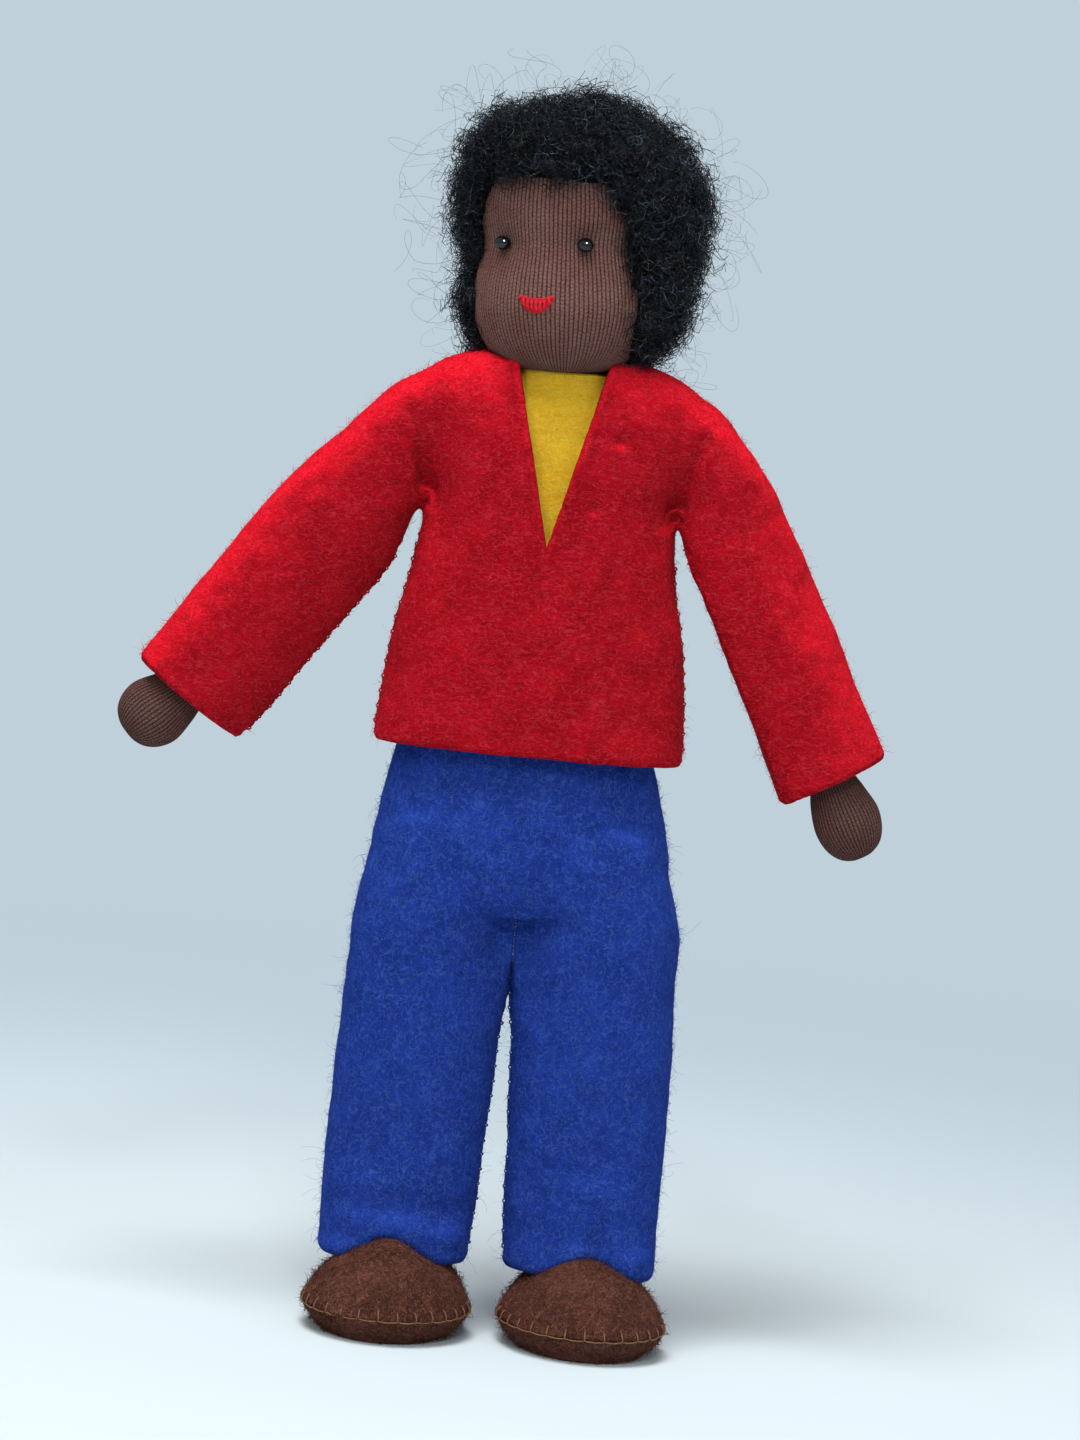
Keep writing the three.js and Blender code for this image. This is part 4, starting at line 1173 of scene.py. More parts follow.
def tunic_skin(settings):
    skin = felted(
        [torso_solid(), sleeve_solid("left"), sleeve_solid("right")], settings.grain / MM, 7)
    shoulder = [
        v for v in skin.verts if v.co.z > waist[2] + 29 and 9 < abs(v.co.x - middle_x) < 27]
    soften(skin, shoulder, 22)
    raise_armpits(skin)

    def above_hem(co):
        return abs(co.x - middle_x) < 23 and co.z < waist[2] + 5

    cut(skin, waist + np.array((0, 0, -6.0)), (0, 0, -1), above_hem)
    for side in SIDES:
        away = -sleeve_turn(side)[:, 2]

        def on_arm(co):
            return (co.x - middle_x) * SIDES[side] > 19

        cut(skin, pivot(f"arm_swing_{side}") + away * CUFF_REACH, away, on_arm)
    point = waist + np.array((0, 0, NECK_POINT))
    rise = NECK_TOP - NECK_POINT

    def front(co):
        return co.y < middle_y and co.z > point[2] - 0.6

    for way in (1, -1):
        across = np.array((rise * way, 0, -NECK_HALF)) / math.hypot(rise, NECK_HALF)
        cut(skin, point, across, front, drop=False)

    def in_neck(co):
        up = co.z - point[2]
        return co.y < middle_y and up > 0 and abs(co.x - middle_x) < NECK_HALF * up / rise

    drop_faces(skin, [in_neck(f.calc_center_median()) for f in skin.faces])
    centres = centres_of(skin)
    sunk = head.room(centres) < 0.45
    inside = head.inside(centres)
    sunk |= (np.hypot(inside[:, 0], inside[:, 1]) < 4.6) & (inside[:, 2] > -1.5)
    drop_faces(skin, sunk)

    def at_neck(co):
        """True on the edge round the neck, and false on the two straight edges of the V."""
        on_v = co.y < middle_y and abs(abs(co.x - middle_x) - NECK_HALF) < 0.9
        return co.z > head.origin[2] - 4 and not on_v

    even_edge(skin, at_neck, 14)
    return Skin(skin)


# Where the tunic creases from the armpit to the top of the shoulder, from the waist's middle.
CREASE = np.array([(14.3, 20.0), (14.9, 24.0), (16.0, 28.5), (17.3, 32.6)])


def crease_depth(points, normals):
    """How deep the armpit's crease is at each point, in millimetres."""
    depth = np.zeros(len(points))
    for side in SIDES:
        flat = np.stack([(points[:, 0] - middle_x) * SIDES[side], points[:, 2] - waist[2]], 1)
        flat = np.pad(flat, ((0, 0), (0, 1)))
        line = np.pad(spline(CREASE, 12), ((0, 0), (0, 1)))
        away, along = nearest_on(flat, line)
        share = 1 - along / along.max()
        soft = 1.7 * np.exp(-((away / 0.75) ** 2)) + 0.7 * np.exp(-((away / 2.4) ** 2))
        depth += soft * (0.25 + 0.75 * share) * np.clip((flat[:, 1] - 21.0) / 3, 0, 1)
    return depth * np.clip((abs(normals[:, 1]) - 0.25) / 0.5, 0, 1)


def v_edge_distance(points):
    """How far each front point is from the V neck's edge, in millimetres."""
    x = abs(points[:, 0] - middle_x)
    up = points[:, 2] - waist[2] - NECK_POINT
    rise = NECK_TOP - NECK_POINT
    away = (x * rise - up * NECK_HALF) / math.hypot(rise, NECK_HALF)
    away = np.where(up < 0, np.hypot(x, up), away)
    return np.where(points[:, 1] < middle_y, away, 99.0)


def nearest_on(points, line):
    """Distance to a line of points, and how far along it the nearest point is."""
    steps = np.linalg.norm(np.diff(line, axis=0), axis=1)
    along = np.concatenate([[0], np.cumsum(steps)])
    best = np.full(len(points), 1e9)
    place = np.zeros(len(points))
    for i in range(len(line) - 1):
        run = line[i + 1] - line[i]
        share = np.clip(((points - line[i]) @ run) / (run @ run), 0, 1)
        away = np.linalg.norm(points - line[i] - share[:, None] * run, axis=1)
        closer = away < best
        best[closer] = away[closer]
        place[closer] = (along[i] + share * steps[i])[closer]
    return best, place


def sleeve_seam(side):
    """The line under the arm where the sleeve is sewn."""
    line = loft_line(sleeve_solid(side), LIMB_SIDES, LIMB_SIDES // 2)
    down = down_arm(line, side)
    return line[(down > 11.0) & (down < CUFF_REACH - 0.4)]


def body_seam(side):
    """The line down the side of the tunic."""
    line = loft_line(torso_solid(), TORSO_SIDES, 0 if side == "left" else TORSO_SIDES // 2)
    up = line[:, 2] - waist[2]
    return line[(up < 18.5) & (up > -5.4)]


# How far from a seam the felt is drawn in, in millimetres.
SEAM_REACH = 1.1


def notch(skin, lines, pitch, depth):
    """How far each stitch of a seam draws the felt in."""
    push = np.zeros(len(skin.points))
    for line in lines:
        near = np.where(nearest_on(skin.points, line[::6])[0] < 3)[0]
        away, place = nearest_on(skin.points[near], line)
        pull = np.maximum(0, np.cos(2 * np.pi * place / pitch)) ** 2
        push[near] -= depth * pull * np.clip(1 - away / SEAM_REACH, 0, 1)
    return push


def largest_patch(skin, chosen):
    """The chosen faces without those that don't join on to most of them."""
    beside = {}
    todo = {int(i) for i in np.where(chosen)[0]}
    for i in todo:
        for v in skin.faces[i]:
            beside.setdefault(v, []).append(i)
    best = []
    while todo:
        patch = [todo.pop()]
        for i in patch:
            for v in skin.faces[i]:
                for j in beside[v]:
                    if j in todo:
                        todo.discard(j)
                        patch.append(j)
        best = max(best, patch, key=len)
    kept = np.zeros(len(chosen), bool)
    kept[best] = True
    return kept


# Places on a seam for each of its stitches.
STITCH_STEPS = 6


class Garment:
    """Felt pieces of one garment, each with its fibres and its part of the seams."""

    def __init__(self, skin, settings, finish, fuzz_material, slot, length, seed):
        self.skin = skin
        self.settings = settings
        self.finish = finish
        self.fuzz_material = fuzz_material
        self.slot = slot
        self.nap = nap_set(slot + "_nap", seed, 0.8, 0.021)
        self.members = fibre_set(slot + "_long", seed + 1, length, 0.013)
        self.seed = seed

    def sew(self, lines, pitch, finish, radius):
        """Whip stitches along lines over a small welt where the felt's edges meet."""
        surface = BVHTree.FromPolygons(self.skin.points.tolist(), self.skin.faces)
        self.stitch = whip_stitch(radius)
        self.thread = finish
        rows = []
        for number, line in enumerate(lines):
            along = line_lengths(line)
            at = np.arange(pitch / 2, along[-1], pitch / STITCH_STEPS)
            spots = np.stack([np.interp(at, along, line[:, k]) for k in range(3)], 1)
            run = np.gradient(spots, axis=0)
            for i, spot in enumerate(spots):
                place, normal, face, away = surface.find_nearest(Vector(spot))
                if away < 1.2:
                    rows.append((number, i, face, *place, *normal, *run[i]))
        self.places = np.array(rows)

    def seam_in(self, name, chosen):
        """The stitches and the welt that lie on the chosen faces."""
        rows = self.places[chosen[self.places[:, 2].astype(int)]]
        if len(rows) < 12:
            return []
        sewn = rows[rows[:, 1] % STITCH_STEPS == 0]
        made = [
            stitches_along(
                name + "_stitches", sewn[:, 3:6] + sewn[:, 6:9] * 0.05, sewn[:, 6:9],
                sewn[:, 9:12], self.stitch, self.thread, self.seed)]
        parts = []
        broken = (np.diff(rows[:, 0]) != 0) | (np.diff(rows[:, 1]) != 1)
        for seam in np.split(rows, np.where(broken)[0] + 1):
            if len(seam) < 6:
                continue
            pull = np.maximum(0, np.cos(seam[:, 1] * math.pi * 2 / STITCH_STEPS)) ** 2
            path = seam[:, 3:6] - seam[:, 6:9] * (0.12 + 0.16 * pull[:, None])
            parts.append(cord_points(path, 0.36 - 0.1 * pull, 8))
        if parts:
            made.append(put(name + "_welt", *joined(parts), self.finish))
        return made

    def cut_out(self, name, chosen, fuzz=1.0):
        """One piece of felt with its nap, its fuzz and its part of the seams."""
        faces = np.where(chosen)[0]
        cloth = self.skin.shell(name, faces, self.settings.thickness / MM, self.finish)
        pieces = [cloth]
        self.seed += 1
        for label, members, density, lean in (
            ("nap", self.nap, self.settings.nap, 0.5),
            ("fuzz", self.members, self.settings.fuzz * fuzz, 0.8)):
            emitter = self.skin.emitter(name + "_emitter", faces)
            pieces.append(
                fuzz_on(
                    emitter, f"{name}_{label}", members, density, self.seed, self.fuzz_material,
                    lean))
        pieces += self.seam_in(name, chosen)
        return pieces

    def bend(self, name, chosen, flat, on, bodies, band, fuzz=1.0):
        """A piece cut out of the garment, which stays where it lies; flat, on, bodies and band are
        not used.
        """
        pieces = self.cut_out(name, chosen, fuzz)
        for piece in pieces:
            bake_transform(piece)
        return pieces

    def rest(self, name, chosen, body, node):
        """The garment's last piece, which rides one body; then its helpers go."""
        pieces = self.cut_out(name, chosen)
        for piece in pieces:
            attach(piece, body)
        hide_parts(node)
        forget(self.nap)
        forget(self.members)
        bpy.data.objects.remove(self.stitch)


def cord_points(path, radii, sides):
    """A closed tube whose radius varies along its path and shrinks at its ends."""
    points, faces = tube(path, 1.0, sides)
    radii = np.array(radii)
    radii[[0, -1]] *= 0.4
    centre = np.repeat(path, sides, 0)
    return centre + (points - centre) * np.repeat(radii, sides)[:, None], faces


def fibre_set(name, seed, size, radius):
    draw = np.random.default_rng(seed)
    paths = [fibre_path(draw, size * draw.uniform(0.6, 1.4)) for _ in range(9)]
    return variants(name, paths, radius)


def nap_set(name, seed, size, radius):
    draw = np.random.default_rng(seed)
    paths = [nap_path(draw, size * draw.uniform(0.6, 1.4)) for _ in range(12)]
    return variants(name, paths, radius, 0.5, spike)


# Bands past the tunic's fold and round the elbow, and where its pieces meet.
SWING_BAND = (-2.2, 0.2)
RAISE_BAND = (0.6, 3.4)
BORDER = 0.4
ELBOW_BAND = 5.5
# How far a piece reaches back past the start of its band.
OVERLAP = 0.8


def whip_stitch(radius):
    """A short thread laid over an edge, slanting, as an object at the origin."""
    turn = np.linspace(-1.3, 1.3, 7)
    path = np.stack([0.25 * turn, 0.5 * np.sin(turn), 0.5 * np.cos(turn) - 0.32], 1)
    return strung("whip_stitch", thread(path, radius, 5, 1.5))


class Maker:
    """What all operators share: each makes its pieces, and an error ends the script."""

    def execute(self, context):
        self.make(context.scene)
        return {"FINISHED"}


class DOLL_OT_tunic(Maker, bpy.types.Operator):
    """Red felt tunic with its sleeves, whole round the body"""

    bl_idname = "doll.tunic"
    bl_label = "Tunic"

    def make(self, scene):
        settings = scene.doll_felt
        threads = scene.doll_thread
        finish = felt_finish(
            "red_felt", tuple(settings.tunic), linear(222, 70, 84), 0.7, 0.45, 0.6, painted_top_light=0.75)
        fuzz_material = fuzz_finish("red_fuzz", tuple(settings.tunic), 1.5)
        skin = tunic_skin(settings)
        lumps = settings.lumps / MM
        push = lumps * waves(skin.points, 7.0, 1) + lumps * 0.35 * waves(skin.points, 2.2, 2)
        edge = v_edge_distance(skin.points)
        push += 0.4 * np.clip(1 - edge / 1.6, 0, 1) ** 2
        seams = [sleeve_seam(s) for s in SIDES] + [body_seam(s) for s in SIDES]
        push += notch(skin, seams, threads.seam_pitch / MM, 0.34)
        push -= crease_depth(skin.points, skin.normals)
        for spot in ((7.6, 31.6), (5.1, 23.4)):
            x = skin.points[:, 0] - middle_x - spot[0]
            z = skin.points[:, 2] - waist[2] - spot[1]
            push -= 0.5 * (np.exp(-(x**2 + z**2) / 0.5) * (skin.points[:, 1] < middle_y))
        skin.push(push)
        garment = Garment(skin, settings, finish, fuzz_material, "red_felt", 1.3, 21)
        sewn = thread_finish("red_seam_thread", scaled(settings.tunic, 1.15))
        garment.sew(seams, threads.seam_pitch / MM, sewn, 0.1)
        centres = skin.centres
        body = np.ones(len(centres), bool)
        for side in SIDES:
            fold = past_fold(centres, side)
            down = down_arm(centres, side)
            arm = (centres[:, 0] - middle_x) * SIDES[side] > 0
            arm &= (fold > SWING_BAND[0] - OVERLAP) & self.on_sleeve(skin, side)
            arm = largest_patch(skin, arm)
            body &= ~arm
            upper = np.linalg.norm(pivot(f"elbow_{side}") - pivot(f"arm_swing_{side}"))
            swing = arm & (fold <= BORDER)
            lower = arm & (fold > BORDER) & (down > upper - ELBOW_BAND - OVERLAP)
            raised = arm & ~swing & ~lower
            foot = waist + mirrored(FOLD_FOOT, side)
            across = mirrored(FOLD_ACROSS, side)
            elbow = pivot(f"elbow_{side}")
            reach = -sleeve_turn(side)[:, 2] * ELBOW_BAND
            garment.bend(
                f"tunic_armhole_{side}", swing, (40, 10), f"shoulder_knot_{side}",
                ("chest", f"shoulder_{side}"), [foot + across * b for b in SWING_BAND], 0.7)
            garment.bend(
                f"tunic_sleeve_upper_{side}", raised, (34, 18), f"upper_arm_winding_{side}",
                (f"shoulder_{side}", f"upper_arm_{side}"), [foot + across * b for b in RAISE_BAND])
            pieces = garment.bend(
                f"tunic_sleeve_lower_{side}", lower, (34, 38), f"forearm_winding_{side}",
                (f"upper_arm_{side}", f"forearm_{side}"), (elbow - reach, elbow + reach))
            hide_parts(f"sleeve_upper_{side}", f"sleeve_lower_{side}")
        garment.rest("tunic_body", body, "chest", "sweater_body")

    @staticmethod
    def on_sleeve(skin, side):
        """True on the sleeve and the shoulder, false on the body's side under the armpit."""
        start = pivot(f"arm_swing_{side}")
        own = (skin.centres - start) @ sleeve_turn(side)
        up = skin.centres[:, 2] - waist[2]
        facing = np.array([skin.normals[list(f), 0].mean() for f in skin.faces]) * SIDES[side]
        inner = (facing < -0.5) & (own[:, 0] > -10)
        return (up > 20.4) | inner | (own[:, 0] > -8.2) & (past_fold(skin.centres, side) > 1.5)


def undershirt_rings():
    """The undershirt: half width, half depth and height above the waist."""
    return spline(
        [
            (10.2, 6.3, 12.0), (10.9, 6.35, 14.5), (11.0, 6.1, 21.0), (11.0, 5.9, 28.0),
            (10.9, 5.4, 33.0), (7.9, 4.8, 35.8), (6.1, 4.7, 37.2), (5.6, 4.6, 38.9)],
        64)


class DOLL_OT_undershirt(Maker, bpy.types.Operator):
    """Yellow felt undershirt that shows in the V of the tunic"""

    bl_idname = "doll.undershirt"
    bl_label = "Undershirt"

    def make(self, scene):
        settings = scene.doll_felt
        finish = felt_finish(
            "yellow_felt", tuple(settings.undershirt), linear(255, 228, 120), 0.25, 0.74, 0.6)
        rings = undershirt_rings()
        sides, thickness = 96, 1.2
        outline = oval(sides, 2.5, 2.5)
        outer = placed(outline, rings, np.eye(3), waist)
        inner = placed(outline, rings - (thickness, thickness, 0), np.eye(3), waist)
        lip = (outer[-1] + inner[-1]) / 2 + np.array((0, 0, 0.25))
        foot = (outer[0] + inner[0]) / 2 - np.array((0, 0, 0.25))
        shell = np.concatenate([outer, lip[None], inner[::-1], foot[None]])
        flat = shell.reshape(-1, 3)
        wave = 0.16 * waves(flat, 5.0, 7) + 0.07 * waves(flat, 1.8, 8)
        flat = flat + (flat - waist) * np.array((1, 1, 0)) / 7 * wave[:, None]
        faces = grid_faces(len(shell), sides, wrap=True)
        shirt = put("undershirt_felt", flat, faces, finish)
        worn(shirt, "chest", "yellow_felt", "undershirt")
        front = np.arange(len(outer) * sides).reshape(-1, sides)[10:-2, 56:88]
        corners = (front[:-1, :-1], front[:-1, 1:], front[1:, 1:], front[1:, :-1])
        emitter = put("undershirt_nap", flat, np.stack(corners, -1).reshape(-1, 4))
        members = nap_set("yellow_fibres", 23, 0.6, 0.014)
        fuzz = fuzz_finish("yellow_fuzz", tuple(settings.undershirt), 1.25)
        nap = fuzz_on(emitter, "undershirt_fuzz", members, 4.0, 5, fuzz, 0.35)
        worn(nap, "chest", "yellow_felt")
        forget(members)


# Trousers

CUFF_HEIGHT = 9.2
# The crotch from the middle between the hips, and the direction across the left groin.
CROTCH = np.array((0.0, 0.0, -4.1))
HIP_ACROSS = np.array((0.61, 0.0, -0.79))
# Bands past the crotch and round the knee, and where the trousers' pieces meet.
HIP_BAND = (0.0, 5.0)
SPREAD_BAND = (6.0, 10.0)
HIP_BORDER = 5.6
KNEE_BAND = 5.5


def hip(side):
    return pivot(f"leg_swing_{side}")


def crotch_point():
    return (hip("left") + hip("right")) / 2 + CROTCH


def leg_turn(side):
    return limb_turn("leg_swing", "ankle", side)


def seat_solid():
    rings = spline(
        [
            (8.5, 6.2, -4.6), (14.0, 7.2, -2.6), (17.4, 7.8, 1.2), (17.6, 7.8, 4.5),
            (15.6, 6.5, 14.0), (13.5, 5.5, 19.8), (13.4, 5.4, 21.5)],
        60)
    origin = (hip("left") + hip("right")) / 2
    return capped(placed(oval(56, 2.4, 2.4), rings, np.eye(3), origin))


# How much further out each cuff is than the leg above it.
CUFF_SHIFT = 0.35


def leg_solid(side):
    """A trouser leg: half width, half depth, shift to the middle, distance down the leg."""
    out = CUFF_SHIFT
    keys = spline(
        [
            (9.2, 7.1, 0.15 - out, 53.5), (9.2, 6.9, 0.1 - out, 49.0),
            (9.2, 6.7, 0.05 - out, 44.0), (9.3, 6.3, 0.0 - out, 36.0),
            (9.55, 6.3, -0.1 - out * 0.7, 26.0), (9.5, 6.9, -0.3, 12.0), (9.4, 7.3, -0.4, 6.0),
            (8.7, 7.5, 0.0, 0.0), (7.6, 7.2, 0.4, -5.5), (6.0, 6.2, 0.8, -8.0)],
        90)
    outline = oval(LIMB_SIDES, 1.8, 2.3)
    rings = np.stack([keys[:, 0], keys[:, 1], -keys[:, 3]], 1)
    return capped(placed(outline, rings, leg_turn(side), hip(side), -keys[:, 2:3]))


def leg_seam(side):
    line = loft_line(leg_solid(side), LIMB_SIDES, LIMB_SIDES // 2)
    return line[(line[:, 2] < 46.0) & (line[:, 2] > CUFF_HEIGHT + 1.0)]


class Shoe(Place):
    """A shoe's own frame and outline: the floor under the ankle, y to the heel."""

    half = (9.75, 11.9)
    forward = 2.9
    rim = 3.0
    top = 12.9
    flat = (6.8, 9.0)
    shift = {"left": 1.5, "right": 0.75}

    def __init__(self, side):
        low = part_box(f"shoe_sole_{side}")[0]
        ankle = pivot(f"ankle_{side}")
        self.origin = np.array((ankle[0] + self.shift[side], ankle[1], low[2] / MM))
        self.turn = spun(math.radians(8) * SIDES[side])

    def dome(self, share, grow=0.0):
        """Half width, half depth, shift back and height at a share of the way up."""
        turn = np.asarray(share) * math.pi / 2
        size = np.maximum(np.cos(turn), 0.0) ** 1.3
        narrow = np.maximum(np.cos(turn), 0.0) ** 2.3
        rise = self.top - self.rim + grow
        return np.stack(
            [
                self.half[0] * narrow + grow, self.half[1] * size + grow,
                -self.forward * (0.25 + 0.75 * size), self.rim + rise * np.sin(turn)],
            -1)

    def room(self, points, grow):
        """How far each point is outside the dome, as a share of its size."""
        own = self.inside(points)
        table = self.dome(np.linspace(0, 1, 60), grow)
        z = own[:, 2]
        w = np.interp(z, table[:, 3], table[:, 0], right=0.01)
        d = np.interp(z, table[:, 3], table[:, 1], right=0.01)
        y = np.interp(z, table[:, 3], table[:, 2])
        size = np.hypot(own[:, 0] / np.maximum(w, 0.01), (own[:, 1] - y) / np.maximum(d, 0.01))
        return np.where(z > self.top + grow, 9.0, size - 1)


def trouser_skin(settings):
    skin = felted([seat_solid(), leg_solid("left"), leg_solid("right")], settings.grain / MM, 8)
    cut(skin, (0, 0, hip("left")[2] + 20.4), (0, 0, 1))
    cut(skin, (0, 0, CUFF_HEIGHT), (0, 0, -1))
    bmesh.ops.dissolve_degenerate(skin, dist=0.14, edges=skin.edges[:])
    for v in skin.verts:
        v.co.x += float(np.interp(v.co.z, (28, 50, 70), (0.7, 0.6, -0.2)))
    centres = centres_of(skin)
    drop_faces(skin, np.any([Shoe(side).room(centres, 0.25) < 0 for side in SIDES], 0))
    even_edge(skin, lambda co: co.z < 16, 10)
    return Skin(skin)


# How far the line between the legs lies to the doll's left.
LEAN = 0.6


def close_crotch(skin):
    """Brings the legs together under the crotch, where the felt presses on itself."""
    up = skin.points[:, 2] - crotch_point()[2]
    steps = np.arange(-22, 1.0, 0.5)
    for side in SIDES:
        x = (skin.points[:, 0] - crotch_point()[0] - LEAN) * SIDES[side]
        inner = (skin.normals[:, 0] * SIDES[side] < -0.6) & (x > -1) & (x < 6)
        gap = np.zeros(len(steps))
        for i, step in enumerate(steps):
            level = (abs(up - step) < 0.5) & inner
            gap[i] = np.quantile(x[level], 0.1) if level.any() else 0.0
        own = np.maximum(np.interp(up, steps, gap) - 0.04, 0)
        share = np.clip((up + 15.0) / 10.0, 0, 1) * np.clip(-(up - 0.6) / 0.6, 0, 1)
        near = np.clip(1 - (x - own) / 4.0, 0, 1) ** 2 * (x > 0)
        moved = np.maximum(x - own * share * near, np.minimum(x, 0.03))
        flat = inner & (x < own + 1.2)
        moved[flat] = 0.03 + (moved[flat] - 0.03) * (1 - share[flat] ** 3)
        skin.points[:, 0] += SIDES[side] * (moved - x)
    skin.renew()


def past_hip(points, side):
    return (points - crotch_point()) @ mirrored(HIP_ACROSS, side)


def down_leg(points, side):
    return -((points - hip(side)) @ leg_turn(side))[:, 2]


class DOLL_OT_trousers(Maker, bpy.types.Operator):
    """Blue felt trousers, whole round the hips"""

    bl_idname = "doll.trousers"
    bl_label = "Trousers"

    def make(self, scene):
        settings = scene.doll_felt
        threads = scene.doll_thread
        finish = felt_finish(
            "blue_felt", tuple(settings.trousers), linear(84, 120, 196), 0.9, 0.45, 0.55,
            (1.3, 1.3, 1.3))
        fuzz_material = fuzz_finish("blue_fuzz", tuple(settings.trousers), 1.7)
        skin = trouser_skin(settings)
        close_crotch(skin)
        lumps = settings.lumps / MM
        points = skin.points
        push = lumps * waves(points, 8.0, 3) + lumps * 0.4 * waves(points, 2.4, 4)
        low = np.clip((26.0 - points[:, 2]) / 14.0, 0, 1)
        squat = points * np.array((0.5, 0.5, 1.3))
        buckle = waves(squat + points[:, 2:] * np.array((0.5, 0, 0)), 5.0, 5)
        push += low * buckle * abs(skin.normals[:, 1]) ** 1.5
        x = points[:, 0] - crotch_point()[0] - LEAN
        up = points[:, 2] - crotch_point()[2]
        hollow = 1.1 * np.exp(-((x / 1.3) ** 2) - (((up + 1.5) / 4.0) ** 2))
        push -= hollow * abs(skin.normals[:, 1]) ** 2
        flare = np.clip((CUFF_HEIGHT + 4.5 - points[:, 2]) / 4.5, 0, 1)
        push += 0.8 * flare**2 * np.clip(-skin.normals[:, 1], 0, 1)
        push += notch(skin, [leg_seam(s) for s in SIDES], threads.seam_pitch / MM, 0.36)
        skin.push(push)
        close_crotch(skin)
        garment = Garment(skin, settings, finish, fuzz_material, "blue_felt", 1.9, 31)
        sewn = thread_finish("blue_seam_thread", scaled(settings.trousers, 1.2))
        garment.sew([leg_seam(s) for s in SIDES], threads.seam_pitch / MM, sewn, 0.1)
        centres = skin.centres
        seat = np.ones(len(centres), bool)
        for side in SIDES:
            past = past_hip(centres, side)
            down = down_leg(centres, side)
            leg = (centres[:, 0] - crotch_point()[0] - LEAN) * SIDES[side] > 0
            leg &= past > -OVERLAP
            seat &= ~leg
            thigh = np.linalg.norm(pivot(f"knee_{side}") - hip(side))
            shin = leg & (down > thigh - KNEE_BAND - OVERLAP)
            swing = leg & (past <= HIP_BORDER) & ~shin
            spread = leg & ~swing & ~shin
            foot = crotch_point()
            across = mirrored(HIP_ACROSS, side)
            knee = pivot(f"knee_{side}")
            reach = -leg_turn(side)[:, 2] * KNEE_BAND
            garment.bend(
                f"trouser_hip_{side}", swing, (38, 21), f"hip_knot_{side}",
                ("pelvis", f"hip_{side}"), [foot + across * b for b in HIP_BAND])
            garment.bend(
                f"trouser_thigh_felt_{side}", spread, (42, 22), f"thigh_winding_{side}",
                (f"hip_{side}", f"thigh_{side}"), [foot + across * b for b in SPREAD_BAND])
            pieces = garment.bend(
                f"trouser_leg_{side}", shin, (46, 35), f"shin_winding_{side}",
                (f"thigh_{side}", f"shin_{side}"), (knee - reach, knee + reach), 1.2)
            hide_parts(f"trouser_thigh_{side}", f"trouser_shin_{side}")
        garment.rest(
            "trouser_seat_felt", seat, "pelvis", "trousers_seat")


# Knitted head and hands


def knitted(name, outline, sizes, turn, origin, wales, settings, finish, shape):
    """A closed knitted tube over rings, with ribs along it, whose points shape moves."""
    each = 5
    sides = wales * each
    count = np.arange(sides) / each
    angle = count / wales * 2 * np.pi + math.pi / 2
    rib = settings.rib / MM * (abs(np.cos(np.pi * (count + 0.5))) ** 0.6 - 0.5)
    rows = len(outline)
    radius = outline[:, :1] + rib[None] * np.minimum(1, outline[:, :1] / 3)
    x = radius * np.cos(angle) * sizes[0]
    y = radius * np.sin(angle) * sizes[1]
    z = np.repeat(outline[:, 1:2], sides, 1)
    rings = np.stack([x, y, z], -1)
    points, faces = capped(shape(rings) @ turn.T + origin)
    height = line_lengths(outline) / (settings.course / MM)
    uv = []
    low = rows * sides
    for f in faces:
        for i in f:
            if i >= low:
                uv.append((0.5, height[0] if i == low else height[-1]))
                continue
            column = i % sides
            wrapped = column == 0 and any(k < low and k % sides == sides - 1 for k in f)
            uv.append(((sides if wrapped else column) / each, height[i // sides]))
    return put(name, points, faces, finish, None, uv)


def eye_place(side):
    """An eye's middle, a little higher and wider than its solid's."""
    return middle(f"eye_{side}") + head.turn @ np.array((SIDES[side] * 0.25, 0.0, 0.6))


class DOLL_OT_head(Maker, bpy.types.Operator):
    """Knitted head, stuffed firm and drawn in at the eyes"""

    bl_idname = "doll.head"
    bl_label = "Head"

    def make(self, scene):
        settings = scene.doll_knit
        finish = knit_finish("knitted_skin", tuple(settings.skin), tuple(settings.gap))
        eyes = [head.inside(eye_place(s)) for s in SIDES]

        def shape(rings):
            flat = rings.reshape(-1, 3)
            reach = np.hypot(flat[:, 0], flat[:, 1])
            out = flat * np.array((1, 1, 0)) / np.maximum(reach, 0.1)[:, None]
            draw = np.zeros(len(flat))
            for eye in eyes:
                away = np.linalg.norm(flat - eye, axis=1)
                draw += 0.75 * np.exp(-((away / 1.8) ** 2))
            front = np.clip(-flat[:, 1] / 10, 0, 1)
            line = np.exp(-(((flat[:, 2] - eyes[0][2]) / 2.4) ** 2))
            draw += 0.22 * line * (1 - front * 0.4)
            cheek = np.exp(-((flat[:, 2] - 10.0) ** 2) / 14) * front**2
            draw -= 0.25 * cheek
            draw -= 0.18 * waves(flat, 7.0, 11)
            return (flat - out * draw[:, None]).reshape(rings.shape)

        wales = round(math.tau * 10.3 / (settings.wale / MM))
        outline = Head.outline[3:-1:2]
        outline = outline[outline[:, 1] > 0.8]
        made = knitted(
            "head_knit", outline, (1.0, Head.flatness), head.turn, head.origin, wales, settings,
            finish, shape)
        worn(made, "head", "knitted_skin", "head_skin")


